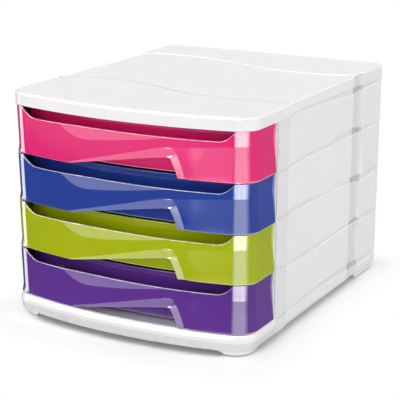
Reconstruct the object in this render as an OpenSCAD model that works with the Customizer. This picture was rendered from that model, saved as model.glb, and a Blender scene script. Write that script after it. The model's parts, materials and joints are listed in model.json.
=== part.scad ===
/* [Casing] */
// Width over the visor, the cheeks and the base
unit_w = 288; // [276:1:300]
// Depth from the middle of the bowed front to the back
unit_d = 370; // [356:1:390]
// Radius of the bow across the front
bow_r = 530; // [480:5:700]
// Radius of the two front corners, seen from above
corner_r = 25; // [20:1:32]
// Radius of the two rear corners
rear_r = 7; // [4:0.5:12]
// Back wall, top and skirt of the casing
wall = 2.8; // [2.4:0.1:3.4]
// Side wall of a tier, measured from the cheek inwards, with the relief in it
side_wall = 5.8; // [5.6:0.1:7]
// Gap left between two mouldings that lie beside each other
part_gap = 0.6; // [0.4:0.1:1]

/* [Heights] */
// Height of the base above the floor
base_h = 26; // [24:0.5:32]
// Height of one drawer tier
tier_h = 52.5; // [50:0.5:60]
// Height of the cover and the visor
cover_h = 14; // [12:0.5:18]
// How far the rear collar of the cover stands above the rest of it
collar_rise = 1.5; // [1:0.1:3]

/* [Side relief] */
// Distance from the foremost point of the front to the visor joint
seam_back = 107; // [100:1:112]
// Width of the upright groove that carries the visor joint down the sides
groove_w = 4; // [3:0.5:6]
// Depth of that groove below the cheeks
groove_d = 3; // [2:0.1:3.4]
// How far the middle of the sides lies inside the cheeks
waist_in = 2; // [1:0.1:2.4]
// Distance from the back to the rear edge of the upright band
band_back = 66; // [60:1:75]
// Width of the upright band
band_w = 22; // [16:1:28]
// Depth of the band below the waist
band_d = 0.7; // [0.4:0.1:0.9]
// Depth of the swoosh-shaped reliefs along the tier joints
swoosh_d = 0.7; // [0.4:0.1:0.9]

/* [Visor joint and collar step] */
// Half of the wave of the visor joint and of the collar step, front to back
wave_amp = 18.5; // [10:0.5:22]
// Length of one wave of the visor joint
joint_wave = 300; // [280:5:360]
// Length of one wave of the collar step
collar_wave = 330; // [300:5:380]
// Width of the chamfer that steps up to the collar
step_w = 2.6; // [2:0.1:5]

/* [Drawers] */
// How far each drawer slides out before it meets its stops
travel = 250; // [200:5:260]
// Wall and floor of the trays
tray_wall = 1.8; // [1.5:0.1:2.4]
// Height of the tray walls above the bottom of their tier
tray_top = 48; // [40:0.5:48.5]
// Clearance under and beside a sliding tray
slide_gap = 0.5; // [0.4:0.05:0.8]
// Distance from the tray front wall forward to the face of the drawer front
finger_room = 17.5; // [15:0.5:20]
// Thickness of the drawer fronts
front_wall = 2.2; // [1.8:0.1:2.8]
// How far the upper face of a drawer front lies inside the visor rim
front_in = 2.6; // [2.4:0.1:3.4]
// How far the lower edge flares out, and the upper edge leans back
flare = 2.2; // [1:0.1:2.3]
// How far the upper edge dips between the corners
dip = 11.3; // [8:0.1:14]
// Distance from the unit's middle to the outer end of the dip
dip_end = 127; // [120:1:128]
// Length of the curve at each end of the dip
dip_run = 19; // [14:1:26]
// Left end of the finger arch, from the unit's middle
arch_x0 = -61; // [-70:1:-50]
// Where the finger arch is highest
arch_x1 = 54; // [48:1:58]
// Width of the steep end of the arch
arch_drop = 15; // [12:1:18]
// Height of the finger arch
arch_h = 20.3; // [14:0.5:24]
// Height of the crease to the right of the arch
crease_h = 29.7; // [27:0.1:32]
// How far the crease climbs from there to the right corner
crease_rise = 6.4; // [3:0.1:7]
// Left end of the bright hollow under the upper edge
hollow_x0 = -72; // [-80:1:-66]
// Lowest point of that hollow, from the unit's middle
hollow_x1 = -40; // [-46:1:-34]
// Depth of that hollow below the upper edge
hollow_h = 11.6; // [8:0.1:12]
// Right end of that hollow
hollow_x2 = 58; // [50:1:62]
// Diameter of the pegs that hold a drawer front to its tray
peg_d = 6; // [5:0.5:7]

/* [Feet] */
// Gap between the floor and the lower edge of the base skirt
skirt_z = 7; // [6:0.5:9]
// Diameter of the rubber pads
pad_d = 18; // [14:0.5:20]
// How far the pads stand out below the feet
pad_out = 1.2; // [0.8:0.1:2]
// How deep the pads sit in the feet
pad_seat = 1.6; // [1:0.1:2.5]

/* [Hidden] */

casing_white = [0.93, 0.92, 0.92];
drawer_colours = [[0.91, 0.14, 0.47], [0.16, 0.26, 0.62], [0.68, 0.73, 0.08], [0.38, 0.20, 0.58]];
pad_grey = [0.45, 0.46, 0.47];

tiers = 4;
half_w = unit_w / 2;
y_front = -unit_d / 2;
y_back = unit_d / 2;
cover_z = base_h + tiers * tier_h;
top_z = cover_z + cover_h;
seam_y = y_front + seam_back;
band_y1 = y_back - band_back;
band_y0 = band_y1 - band_w;
waist_x = half_w - waist_in;
waist_bow = 0.5; // how much further in the waist lies halfway along
inner_x = half_w - side_wall;
over = 0.5; // overlap between two volumes of one moulding
collar_in = 1; // how far the casing behind the band lies inside the cheeks
bevel = 1; // slope at the edges of the relief on the sides

function tier_z(level) = base_h + (tiers - level) * tier_h;
function clamp01(t) = min(1, max(0, t));
function ease(t) = let (c = clamp01(t)) c * c * (3 - 2 * c);
function span(a, b, step) =
    let (n = max(1, ceil(abs(b - a) / step))) [for (i = [0 : n - 1]) a + (b - a) * i / n];

// ---------- plan outlines ----------

// Bow of the front and its round corners: [bow centre y, corner centre x, corner centre y, turn]
// where turn is the angle from the middle at which the bow passes into the corner
function bow_form(half, apex, r_bow, r_corner) =
    let (cy = apex + r_bow, cx = half - r_corner, reach = r_bow - r_corner)
    [cy, cx, cy - sqrt(reach * reach - cx * cx), asin(cx / reach)];

front_form = bow_form(half_w, y_front, bow_r, corner_r);
bow_cy = front_form[0];
corner_cx = front_form[1];
corner_cy = front_form[2];
turn = front_form[3];

// Bowed front from its right end to its left end
function bow_curve(half, apex, r_bow, r_corner, n_bow, n_corner) =
    let (f = bow_form(half, apex, r_bow, r_corner))
    let (right = [for (i = [0 : n_corner - 1]) let (a = 90 - (90 - f[3]) * i / n_corner)
        [f[1] + r_corner * sin(a), f[2] - r_corner * cos(a)]])
    concat(right,
        [for (i = [0 : n_bow]) let (a = f[3] - 2 * f[3] * i / n_bow)
            [r_bow * sin(a), f[0] - r_bow * cos(a)]],
        mirrored(right));

function reversed(list) = [for (i = [len(list) - 1 : -1 : 0]) list[i]];
function mirrored(points) = [for (p = reversed(points)) [-p[0], p[1]]];

// The casing's front, moved inwards by `inset`
function front_curve(inset) =
    bow_curve(half_w - inset, y_front + inset, bow_r - inset, max(1, corner_r - inset), 28, 6);

// Right side of the casing from the back to the cheek: collar, band, waist and groove
function side_curve(inset) =
    let (r = max(1, rear_r - inset), collar_x = half_w - collar_in - inset)
    concat(
        [for (a = [90 : -15 : 0]) [collar_x - r + r * cos(a), y_back - inset - r + r * sin(a)]],
        [[half_w - inset, band_y1 + bevel],
         [waist_x - band_d - inset, band_y1 - bevel],
         [waist_x - band_d - inset, band_y0 + bevel],
         [waist_x - inset, band_y0 - bevel],
         [waist_x - waist_bow - inset, (band_y0 + seam_y) / 2],
         [waist_x - inset, seam_y + groove_w / 2 + bevel],
         [half_w - groove_d - inset, seam_y + groove_w / 2],
         [half_w - groove_d - inset, seam_y - groove_w / 2],
         [half_w - inset, seam_y - groove_w / 2 - bevel],
         [half_w - inset, cheek_y]]);

function casing_outline(front_inset, side_inset) =
    concat(side_curve(side_inset), front_curve(front_inset), mirrored(side_curve(side_inset)));

// Straight-walled hollow inside the casing, from the back wall to a chosen front
function hollow_outline(front) =
    concat([[inner_x, y_back - wall]], front, [[-inner_x, y_back - wall]]);

// ---------- visor joint, collar step and side swooshes ----------

function visor_joint(x) =
    seam_y + 6 - wave_amp * sin(360 * (x + 10) / joint_wave) - 8 * pow(abs(x) / half_w, 4);
function collar_step(x) = band_y0 + 3 - wave_amp * sin(360 * (x + 3) / collar_wave);

joint_xs = [for (i = [0 : 40]) (half_w + 16) * (i / 20 - 1)];

// Area in front of a curve across the top (side = -1) or behind it (side = 1)
function beyond(curve, side) =
    concat(curve, [[half_w + 16, side * unit_d], [-half_w - 16, side * unit_d]]);

// Where a drawer front's side return ends and the cheek of its tier begins
cheek_y = seam_y - 31;

// Each swoosh runs along the joint above or below a tier. Its middle and its thickness
// are given at stations from the cheek to the back.
side_run = band_y0 - seam_y;
swoosh_y = concat([cheek_y], [for (share = [0, 0.22, 0.51, 0.74, 1]) seam_y + share * side_run],
    [band_y1, y_back]);
swoosh_mid = [
    [0, 0, 0, -1, -2.4, -3.6, -3, -3],
    [-2, -2, 0.5, 2, 2.8, 2, 0.6, 0],
    [3.4, 3.8, 2.4, 0, -1.6, -3, -5.6, -6.4],
    [1, -1.6, -4, -4.4, -3.6, -2.4, -3, -6],
    [-1.6, -2, -1.6, -1.6, -2, -3, -4, -6]];
swoosh_t = [
    [1, 1, 1.6, 3.2, 5.2, 8, 4, 1.6],
    [1.2, 4.6, 4.2, 1.4, 3.4, 8.6, 5.6, 1.6],
    [1.2, 4, 5.6, 3.2, 1.4, 7.2, 6, 1.8],
    [1.2, 2.8, 5, 4.2, 1.6, 4, 3.2, 1.6],
    [1.2, 1.4, 3, 4.6, 5.4, 8.4, 5, 1.8]];

function at(values, y, i = 0) =
    i < len(swoosh_y) - 2 && y > swoosh_y[i + 1]
        ? at(values, y, i + 1)
        : let (t = ease((y - swoosh_y[i]) / (swoosh_y[i + 1] - swoosh_y[i])))
            values[i] * (1 - t) + values[i + 1] * t;

// Outline in y and z between two depths of the casing, for joint 0 (cover) to 4 (base)
function swoosh_outline(joint, y0, y1) =
    let (z = cover_z - joint * tier_h, ys = concat(span(y0, y1, 8), [y1]))
    concat(
        [for (y = ys) [y, z + at(swoosh_mid[joint], y) + at(swoosh_t[joint], y) / 2]],
        [for (i = [len(ys) - 1 : -1 : 0])
            [ys[i], z + at(swoosh_mid[joint], ys[i]) - at(swoosh_t[joint], ys[i]) / 2]]);

// Cuts one swoosh into both sides, down to x = floor_x
module swoosh_cut(joint, floor_x, y0, y1) {
    for (side = [-1, 1])
        translate([side * (floor_x + 5), 0, 0])
            rotate([90, 0, 90])
                linear_extrude(10, center = true)
                    polygon(swoosh_outline(joint, y0, y1));
}

module swoosh(joint) {
    swoosh_cut(joint, half_w - 2.4 * swoosh_d, cheek_y - 2, seam_y);
    swoosh_cut(joint, waist_x - swoosh_d, seam_y - bevel, band_y0 + bevel);
    swoosh_cut(joint, waist_x - band_d - swoosh_d, band_y0, band_y1);
    swoosh_cut(joint, half_w - 2 * collar_in - swoosh_d, band_y1 - bevel, y_back + 2);
}

// ---------- shared solids of the casing ----------

// Closed solid through rings of equal length that run anticlockwise, seen from above
module loft(rings) {
    n = len(rings[0]);
    last = len(rings) - 1;
    polyhedron(
        points = [for (ring = rings) each ring],
        faces = concat(
            [[for (i = [0 : n - 1]) i]],
            [[for (i = [n - 1 : -1 : 0]) last * n + i]],
            [for (k = [0 : last - 1]) for (i = [0 : n - 1]) let (j = (i + 1) % n)
                each [[k * n + i, (k + 1) * n + i, (k + 1) * n + j],
                      [k * n + i, (k + 1) * n + j, k * n + j]]]));
}

function casing_ring(z, front_inset, side_inset) =
    [for (p = reversed(casing_outline(front_inset, side_inset))) [p[0], p[1], z]];

// Casing outline lofted between two heights, through levels [z, front inset, side inset] that
// start below z0 and end above z1
module casing_body(z0, z1, levels)
    intersection() {
        loft([for (level = levels) casing_ring(level[0], level[1], level[2])]);
        translate([-unit_w, -unit_d, z0])
            cube([2 * unit_w, 2 * unit_d, z1 - z0]);
    }

// Stacking rim: a tongue on top of one moulding that enters a rebate in the next
tongue_t = 1.2;
tongue_h = 3;
tongue_gap = 0.2;
tongue_y = seam_y + 4;

module rim_outline(grow, front_y) {
    difference() {
        polygon([[inner_x + tongue_t + grow, y_back - wall + tongue_t + grow],
                 [inner_x + tongue_t + grow, front_y - grow],
                 [-inner_x - tongue_t - grow, front_y - grow],
                 [-inner_x - tongue_t - grow, y_back - wall + tongue_t + grow]]);
        polygon([[inner_x - grow, y_back - wall - grow], [inner_x - grow, front_y - grow - 1],
                 [-inner_x + grow, front_y - grow - 1], [-inner_x + grow, y_back - wall - grow]]);
    }
}
module tongue(z)
    translate([0, 0, z - over])
        linear_extrude(tongue_h + over)
            rim_outline(0, tongue_y);
module rebate(z)
    translate([0, 0, z - over])
        linear_extrude(tongue_h + tongue_gap + over)
            rim_outline(tongue_gap, tongue_y);

// ---------- cover and visor ----------

roof_z = top_z - wall;
rib_t = 1.6;
rib_h = 5;
rib_xs = [-2, -1, 0, 1, 2] * inner_x / 3;
rib_y = seam_y + wave_amp + 12; // where the ribs of the cover start, behind the visor joint
lip_t = 2; // lip of the cover that carries the rear of the visor
lip_in = 8;

lid_edge = 3; // run of the rolled edge round the top

module lid_shell()
    casing_body(cover_z, top_z,
        [[cover_z - 1, 1.2, 1.2], [cover_z + 1, 0, 0], [top_z - lid_edge, 0, 0],
         [top_z - 0.9, 0.9, 0.9], [top_z + 0.9, 5.1, 5.1]]);

// Raised rear part of the lid, behind a chamfered wave
module collar()
    intersection() {
        casing_body(top_z - 2, top_z + collar_rise,
            [[top_z - 3, 1.6, 1.6], [top_z + collar_rise - 0.9, 1.6, 1.6],
             [top_z + collar_rise + 0.9, 4.4, 4.4]]);
        loft([for (level = [[top_z - 3, 0], [top_z - 0.3, 0], [top_z + collar_rise + 1, step_w]])
            [for (p = beyond([for (i = [0 : 40]) [joint_xs[i], step_curve[i]]], 1))
                [p[0], p[1] + level[1], level[0]]]]);
    }

// Upright cut through the lid along a curve, kept in front of it or behind it
module keep(xs, curve, side)
    translate([0, 0, cover_z - 5])
        linear_extrude(cover_h + 20)
            polygon(beyond([for (i = [0 : len(xs) - 1]) [xs[i], curve[i]]], side));

joint_curve = [for (x = joint_xs) visor_joint(x)];
step_curve = [for (x = joint_xs) collar_step(x)];
function shifted(curve, by) = [for (y = curve) y + by];

module lid_hollow()
    translate([0, 0, cover_z - 1])
        linear_extrude(cover_h + 1 - wall)
            polygon(hollow_outline(front_curve(wall + 0.4)));

module front_visor() color(casing_white) {
    intersection() {
        difference() {
            lid_shell();
            lid_hollow();
        }
        keep(joint_xs, shifted(joint_curve, -part_gap / 2), -1);
    }
    // ribs behind the rim, one at each side of every third of the width
    for (x = rib_xs)
        translate([x - rib_t / 2, y_front + wall + x * x / bow_r / 2, roof_z - rib_h])
            cube([rib_t, 40, rib_h + over]);
}

module top_cover() color(casing_white) difference() {
    union() {
        difference() {
            union() {
                intersection() {
                    lid_shell();
                    keep(joint_xs, shifted(joint_curve, part_gap / 2), 1);
                }
                collar();
            }
            lid_hollow();
        }
        // lip that reaches forward under the visor, and the bar that carries it
        intersection() {
            translate([-inner_x + 1, rib_y - 70, roof_z - lip_t - tongue_gap])
                cube([2 * inner_x - 2, 90, lip_t]);
            keep(joint_xs, shifted(joint_curve, -lip_in), 1);
        }
        translate([-inner_x + 1, rib_y - 2, roof_z - lip_t - over])
            cube([2 * inner_x - 2, 16, lip_t + 2 * over]);
        for (x = rib_xs)
            translate([x - rib_t / 2, rib_y, roof_z - rib_h])
                cube([rib_t, y_back - wall - rib_y + over, rib_h + over]);
        translate([-inner_x - over, band_y0 + 6, roof_z - rib_h])
            cube([2 * (inner_x + over), rib_t, rib_h + over]);
    }
    rebate(cover_z);
    swoosh(0);
}

// ---------- tiers ----------

ledge_z = tongue_h + tongue_gap + 0.4;
ledge_t = 2;
ledge_w = 10.4;
ledge_x = inner_x - ledge_w;
ledge_y = cheek_y - 19;
bar_w = 14;
bar_t = 2;
bar_z = -bar_t + 0.4;
cheek_inner_x = half_w - wall - 0.4;

// Room beside a tray, with its stops: a nub on each side meets a post on each ledge
side_room = 3;
stop_t = 3;
stop_top = tray_top + 3;
nub_t = 3;
nub_h = 6;
nub_in = 7; // from the back of a tray to its nubs
tray_back = y_back - wall - 10;
nub_y = tray_back - nub_in;
stop_y = nub_y - travel - slide_gap - stop_t;
web_y = max(stop_y, cheek_y + 1); // the web stays behind the front edge of the cheek
web_x = over + (stop_y + stop_t < seam_y - groove_w ? cheek_inner_x : inner_x);

module tier_wall()
    linear_extrude(tier_h)
        difference() {
            polygon(concat(side_curve(0), mirrored(side_curve(0))));
            polygon(hollow_outline([
                [inner_x, seam_y - groove_w], [cheek_inner_x, seam_y - groove_w - 3],
                [cheek_inner_x, cheek_y - 1], [-cheek_inner_x, cheek_y - 1],
                [-cheek_inner_x, seam_y - groove_w - 3], [-inner_x, seam_y - groove_w]]));
        }

module tier_inside() {
    for (side = [-1, 1]) {
        // ledge under the tray, with its upright at the front bar
        translate([side * (inner_x + ledge_x) / 2, 0, ledge_z + ledge_t / 2])
            translate([side * over / 2, (ledge_y + y_back - wall + over) / 2, 0])
                cube([ledge_w + over, y_back - wall + over - ledge_y, ledge_t], center = true);
        translate([side * (ledge_x + wall / 2) - wall / 2, ledge_y, bar_z])
            cube([wall, bar_w, ledge_z + ledge_t - bar_z]);
        // bracket from the ledge to the cheek
        translate([side * (inner_x + cheek_inner_x) / 2, (cheek_y + seam_y) / 2,
                   ledge_z + ledge_t / 2])
            cube([cheek_inner_x - inner_x + 2 * over, seam_y - cheek_y - 2, ledge_t], center = true);
        // post that holds back the nub of the tray, with a web to the cheek
        translate([side * (tray_half + slide_gap + inner_x) / 2, stop_y + stop_t / 2,
                   (ledge_z + stop_top) / 2])
            cube([inner_x - tray_half - slide_gap, stop_t, stop_top - ledge_z], center = true);
        if (web_y < stop_y + stop_t - over)
            translate([side * (inner_x - over + web_x) / 2, (web_y + stop_y + stop_t) / 2,
                       (ledge_z + stop_top) / 2])
                cube([web_x - inner_x + over, stop_y + stop_t - web_y, stop_top - ledge_z],
                    center = true);
    }
    translate([-ledge_x - wall, ledge_y, bar_z])
        cube([2 * (ledge_x + wall), bar_w, bar_t]);
}

module tier(level) color(casing_white) {
    difference() {
        union() {
            translate([0, 0, tier_z(level)]) {
                tier_wall();
                tier_inside();
            }
            tongue(tier_z(level) + tier_h);
        }
        rebate(tier_z(level));
        swoosh(level - 1);
        swoosh(level);
    }
}

// ---------- base and feet ----------

foot_x = half_w - 28;
foot_front_y = corner_cy + 10;
pad_x = half_w - 18;
pad_ys = [corner_cy - 1, (band_y1 + y_back) / 2 - 2];
deck_drop = -bar_z + tongue_gap; // room for the cross-bar of the lowest tier
rim_w = 6;
base_rib_z = skirt_z + 4;
foot_bevel = 5; // run of the slopes at the ends of the feet
foot_inset = 2.6; // how far the feet lie inside the casing's outline
foot_taper = 5; // how far the front feet draw in towards the floor
foot_top = base_h - wall + over;

// Upright profile of a foot between two ends, which slope in towards the floor
function foot_profile(start, end) =
    [[start, foot_top], [start, skirt_z], [start + foot_bevel, pad_out],
     [end - foot_bevel, pad_out], [end, skirt_z], [end, foot_top]];

// Two feet, left and right, between two depths
module feet(y0, y1, taper)
    intersection() {
        casing_body(pad_out, foot_top,
            [[pad_out - 1, foot_inset + taper, foot_inset + taper],
             [skirt_z, foot_inset, foot_inset], [foot_top + 1, foot_inset, foot_inset]]);
        rotate([90, 0, 90])
            linear_extrude(2 * unit_w, center = true)
                polygon(foot_profile(y0, y1));
        for (side = [-1, 1])
            rotate([90, 0, 0])
                linear_extrude(2 * unit_d, center = true)
                    polygon([for (p = foot_profile(foot_x - foot_bevel, half_w + 2 * foot_bevel))
                        [side * p[0], p[1]]]);
    }

module base() color(casing_white) difference() {
    union() {
        difference() {
            // the front edge is rolled, the sides meet the lowest tier squarely
            casing_body(skirt_z, base_h,
                [[skirt_z - 1, 3.2, 2.8], [skirt_z + 1, 1.6, 1.2], [base_h - 9, 0, 0],
                 [base_h - 4, 0.3, 0], [base_h - 1.2, 1.6, 0], [base_h + 1.2, 6.4, 0]]);
            translate([0, 0, skirt_z - 1])
                linear_extrude(base_h - wall - skirt_z + 1)
                    polygon(hollow_outline(front_curve(wall + 2.4)));
        }
        // ribs under the deck, along the base and across it
        for (x = rib_xs)
            translate([x - rib_t / 2, corner_cy, base_rib_z])
                cube([rib_t, y_back - wall - corner_cy + over, base_h - wall - base_rib_z + over]);
        for (y = [cheek_y, (cheek_y + band_y0) / 2, band_y0])
            translate([-inner_x - over, y, base_rib_z])
                cube([2 * (inner_x + over), rib_t, base_h - wall - base_rib_z + over]);
        // feet carry on the outline of the corners down to the pads
        feet(y_front - 1, foot_front_y, foot_taper);
        feet(band_y1 + 3, y_back + 2 * foot_bevel, 0);
        tongue(base_h);
    }
    for (x = [-pad_x, pad_x], y = pad_ys)
        translate([x, y, -1])
            cylinder(d = pad_d + 0.4, h = pad_out + pad_seat + 1, $fn = 64);
    // shallow deck behind the rolled front rim
    translate([0, 0, base_h - deck_drop])
        linear_extrude(deck_drop + 1)
            polygon(concat([[inner_x - 4, cheek_y - 1]], front_curve(rim_w), [[-inner_x + 4, cheek_y - 1]]));
    swoosh(tiers);
}

module foot_pad(x, y) color(pad_grey)
    translate([x, y, 0]) {
        cylinder(d1 = pad_d - 1.2, d2 = pad_d, h = 0.6, $fn = 64);
        translate([0, 0, 0.6])
            cylinder(d = pad_d, h = pad_out + pad_seat - 0.6, $fn = 64);
    }

// ---------- trays ----------

tray_half = inner_x - side_room;
tray_low_half = ledge_x - slide_gap - 0.5;
tray_in = front_in + front_wall + finger_room;
tray_step = ledge_z + ledge_t + slide_gap;
tray_floor = 1;
tray_corner_r = 9;
crown_x = 92; // half the width of the raised middle of a tray's front wall
crown_run = 8; // run of the slopes at its ends
crown_top = tier_h - 0.8;
peg_zs = [12, 26];
peg_x = 100;

function tray_outline(half, inset) =
    concat([[half - inset, tray_back - inset]],
        bow_curve(half - inset, y_front + tray_in + inset, bow_r - tray_in - inset,
            max(1, tray_corner_r - inset), 18, 4),
        [[-half + inset, tray_back - inset]]);

// The front wall rises in the middle, so that nothing shows between a tray and the next one up
module tray_crown()
    intersection() {
        linear_extrude(crown_top)
            polygon(tray_outline(tray_half, 0));
        rotate([90, 0, 0])
            linear_extrude(unit_d / 2)
                polygon([[-crown_x - crown_run, tray_top - over], [crown_x + crown_run, tray_top - over],
                         [crown_x, crown_top], [-crown_x, crown_top]]);
    }

module tray(level) color(drawer_colours[level - 1])
    translate([0, 0, tier_z(level)])
        difference() {
            union() {
                translate([0, 0, tray_floor])
                    linear_extrude(tray_step + over - tray_floor)
                        polygon(tray_outline(tray_low_half, 0));
                translate([0, 0, tray_step])
                    linear_extrude(tray_top - tray_step)
                        polygon(tray_outline(tray_half, 0));
                tray_crown();
                // nubs near the rear that meet the stops
                translate([-tray_half - side_room + slide_gap, nub_y, tray_top - nub_h - 2])
                    cube([2 * (tray_half + side_room - slide_gap), nub_t, nub_h]);
            }
            translate([0, 0, tray_floor + tray_wall])
                linear_extrude(tier_h)
                    polygon(tray_outline(tray_low_half, tray_wall));
            translate([0, 0, tray_step + tray_wall])
                linear_extrude(tier_h)
                    polygon(tray_outline(tray_half, tray_wall));
            for (x = [-peg_x, peg_x], z = peg_zs)
                translate([x, corner_cy - 20, z])
                    rotate([-90, 0, 0])
                        cylinder(d = peg_d + 0.3, h = 40, $fn = 48);
        }

// ---------- drawer fronts ----------

edge_gap = 0.4;
lip = flare + 0.2;
lip_w = 7; // width of the lip beside the steep end of the arch
lip_top = 8.4; // greatest width of the lip above the arch
lip_rise = 12.2; // how far the outer line of the steep end's lip would rise above the arch
lip_foot = 0.3; // share of the lip's reach that is left at its outer line
lip_slope = 0.3; // steepest slopes of the lip and of the zone above it
zone_slope = 0.12;
arch_wide = arch_drop + lip_w;
turn_x = bow_r * sin(turn);
flare_u = turn_x - 7; // where the left corner begins to flare
left_flare = 1.1;
flare_fade = 18; // length over which the flare grows to the right of the arch
bend_fade = 45; // length over which the section of the flare changes

function mix(a, b, t) = a + (b - a) * t;
function arch_share(u) = clamp01((u - arch_x0) / (arch_x1 - arch_x0));
// Height of the arch's steep end, level at the top of the arch, and of the outer line of its lip
function arch_end(u) =
    edge_gap + arch_h * pow(1 - pow(clamp01((u - arch_x1) / arch_drop), 3.4), 1.2);
function lip_end(u) =
    edge_gap + (arch_h + lip_rise) * (1 - pow(clamp01((u - arch_x1) / arch_wide), 2.4));
// Their distance from the top of the arch at a height
function arch_reach(z) =
    arch_drop * pow(1 - pow(clamp01((z - edge_gap) / arch_h), 1 / 1.2), 1 / 3.4);
function lip_reach(z) =
    arch_wide * pow(1 - clamp01((z - edge_gap) / (arch_h + lip_rise)), 1 / 2.4);

// Height of the lines that shape a front, along the developed front u (0 in the middle)
function edge_low(u) =
    let (t = arch_share(u))
    u > arch_x1 ? arch_end(u) : edge_gap + arch_h * (t + 1 - pow(1 - t, 1.25)) / 2;
function lip_line(u) =
    u > arch_x1 ? min(lip_end(u), crease(u) - 0.6)
    : edge_low(u) + min(lip_top * pow(arch_share(u), 0.36), 0.8 * (crease(u) - edge_low(u)));
function crease(u) =
    let (low = edge_gap + 1.2)
    u <= arch_x0 ? low + 9 * ease((-flare_u - u) / 40)
    : u <= arch_x1 ? mix(low, crease_h, arch_share(u))
    : crease_h + crease_rise * clamp01((u - arch_x1) / (dip_end - arch_x1));
function edge_high(u) =
    let (t = clamp01((dip_end - abs(u)) / dip_run))
    tier_h - edge_gap - dip * (1 - pow(1 - t, 2.2));
function hollow_low(u) =
    let (top = edge_high(u) - 1)
    u <= hollow_x0 || u >= hollow_x2 ? top
    : u < hollow_x1
        ? top - hollow_h * (1 - pow((hollow_x1 - u) / (hollow_x1 - hollow_x0), 2.15))
        : top - hollow_h * (1 - pow((u - hollow_x1) / (hollow_x2 - hollow_x1), 1.25));

// How far the face stands out along the line where the zone under the crease ends
function zone_reach(u) =
    let (most = u <= arch_x0 ? left_flare * ease((-flare_u - u) / 30)
        : u <= arch_x1 ? lip * lip_foot
        : mix(lip * lip_foot, flare, ease((u - arch_x1 - arch_wide) / flare_fade)))
    min(most, zone_slope * (crease(u) - lip_line(u)));
// Share of the lip at a point: 1 at the arch, 0 beyond the lip's outer line
function lip_share(u, z) =
    let (low = edge_low(min(u, arch_x1)), high = lip_line(min(u, arch_x1)), run = u - arch_x1)
    u <= arch_x0 ? 0
    : run <= 0 ? clamp01((high - z) / (high - low))
    : min(clamp01((high - z) / (high - low)),
        clamp01((lip_reach(z) - run) / (lip_reach(z) - arch_reach(z))));
// How far the face stands out at a point: the zone under the crease, and the lip round the arch
function stand_out(u, z) =
    let (t = clamp01((z - lip_line(u)) / (crease(u) - lip_line(u))),
         bend = u > arch_x1 ? mix(2.2, 1.25, ease((u - arch_x1 - arch_wide) / bend_fade)) : 1,
         zone = zone_reach(u),
         full = u > arch_x1 ? lip : min(lip, zone + lip_slope * (lip_line(u) - edge_low(u))))
    mix(zone * (1 - pow(t, bend)), full, lip_share(u, z));
// How far the face leans back inside the hollow under the upper edge
function lean_back(u, z) =
    flare * clamp01((z - hollow_low(u)) / (edge_high(u) - hollow_low(u)))
        * (u <= hollow_x0 || u >= hollow_x2 ? 0 : 1);

// Columns of the front: [centre x, centre y, radius, direction x, direction y, u]
corner_len = corner_r * (90 - turn) * PI / 180;
return_y = cheek_y - part_gap;

right_columns = concat(
    [for (y = span(return_y, corner_cy, 14))
        [0, y, half_w, 1, 0, turn_x + corner_len + y - corner_cy]],
    [for (i = [0 : 6]) let (a = 90 - (90 - turn) * i / 7)
        [corner_cx, corner_cy, corner_r, sin(a), -cos(a), turn_x + corner_len * (1 - i / 7)]]);
bow_us = concat(
    span(turn_x, dip_end - dip_run, 3.4),
    span(dip_end - dip_run, arch_x1 + arch_wide, 7),
    span(arch_x1 + arch_wide, arch_x1 + arch_drop + 2, 2),
    [for (a = [90 : -10 : 10]) arch_x1 + arch_drop * sin(a)],
    span(arch_x1, hollow_x1, 8),
    span(hollow_x1, hollow_x0 - 2, 3.5),
    span(hollow_x0 - 2, dip_run - dip_end, 9),
    span(dip_run - dip_end, -turn_x, 3.4), [-turn_x]);
bow_columns = [for (u = bow_us) [0, bow_cy, bow_r, u / bow_r, -sqrt(1 - pow(u / bow_r, 2)), u]];
left_columns = [for (c = right_columns) [-c[0], c[1], c[2], -c[3], c[4], -c[5]]];
columns = concat(left_columns, reversed(bow_columns), reversed(right_columns));

function heights(u) =
    let (a = edge_low(u), b = max(a + 0.6, crease(u)), c = max(b + 0.4, hollow_low(u)), d = edge_high(u),
         fold = min(max(lip_line(u), mix(a, b, 0.3)), b - 0.3))
    [a, fold, (fold + b) / 2, b, (b + c) / 2, c, d];

function face_point(c, z, depth) =
    let (r = c[2] - front_in - depth + stand_out(c[5], z) - lean_back(c[5], z))
    [c[0] + c[3] * r, c[1] + c[4] * r, z];

rows = 7;

// Bowed shell: outer face, inner face, and the rims between them
module front_shell() {
    n = len(columns);
    size = n * rows;
    function id(layer, i, k) = layer * size + i * rows + k;
    polyhedron(
        points = [for (depth = [0, front_wall]) for (c = columns) for (z = heights(c[5]))
            face_point(c, z, depth)],
        faces = concat(
            [for (i = [0 : n - 2]) for (k = [0 : rows - 2]) each [
                [id(0, i, k), id(0, i + 1, k + 1), id(0, i + 1, k)],
                [id(0, i, k), id(0, i, k + 1), id(0, i + 1, k + 1)],
                [id(1, i, k), id(1, i + 1, k), id(1, i + 1, k + 1)],
                [id(1, i, k), id(1, i + 1, k + 1), id(1, i, k + 1)]]],
            [for (i = [0 : n - 2]) each [
                [id(0, i, 0), id(0, i + 1, 0), id(1, i + 1, 0)],
                [id(0, i, 0), id(1, i + 1, 0), id(1, i, 0)],
                [id(0, i, rows - 1), id(1, i + 1, rows - 1), id(0, i + 1, rows - 1)],
                [id(0, i, rows - 1), id(1, i, rows - 1), id(1, i + 1, rows - 1)]]],
            [for (k = [0 : rows - 2]) each [
                [id(0, 0, k), id(1, 0, k), id(1, 0, k + 1)],
                [id(0, 0, k), id(1, 0, k + 1), id(0, 0, k + 1)],
                [id(0, n - 1, k), id(1, n - 1, k + 1), id(1, n - 1, k)],
                [id(0, n - 1, k), id(0, n - 1, k + 1), id(1, n - 1, k + 1)]]]));
}

// Depth of the bow at x for a face that lies `inset` inside the widest outline
function bow_y(x, inset) = bow_cy - sqrt(pow(bow_r - inset, 2) - x * x);

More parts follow.
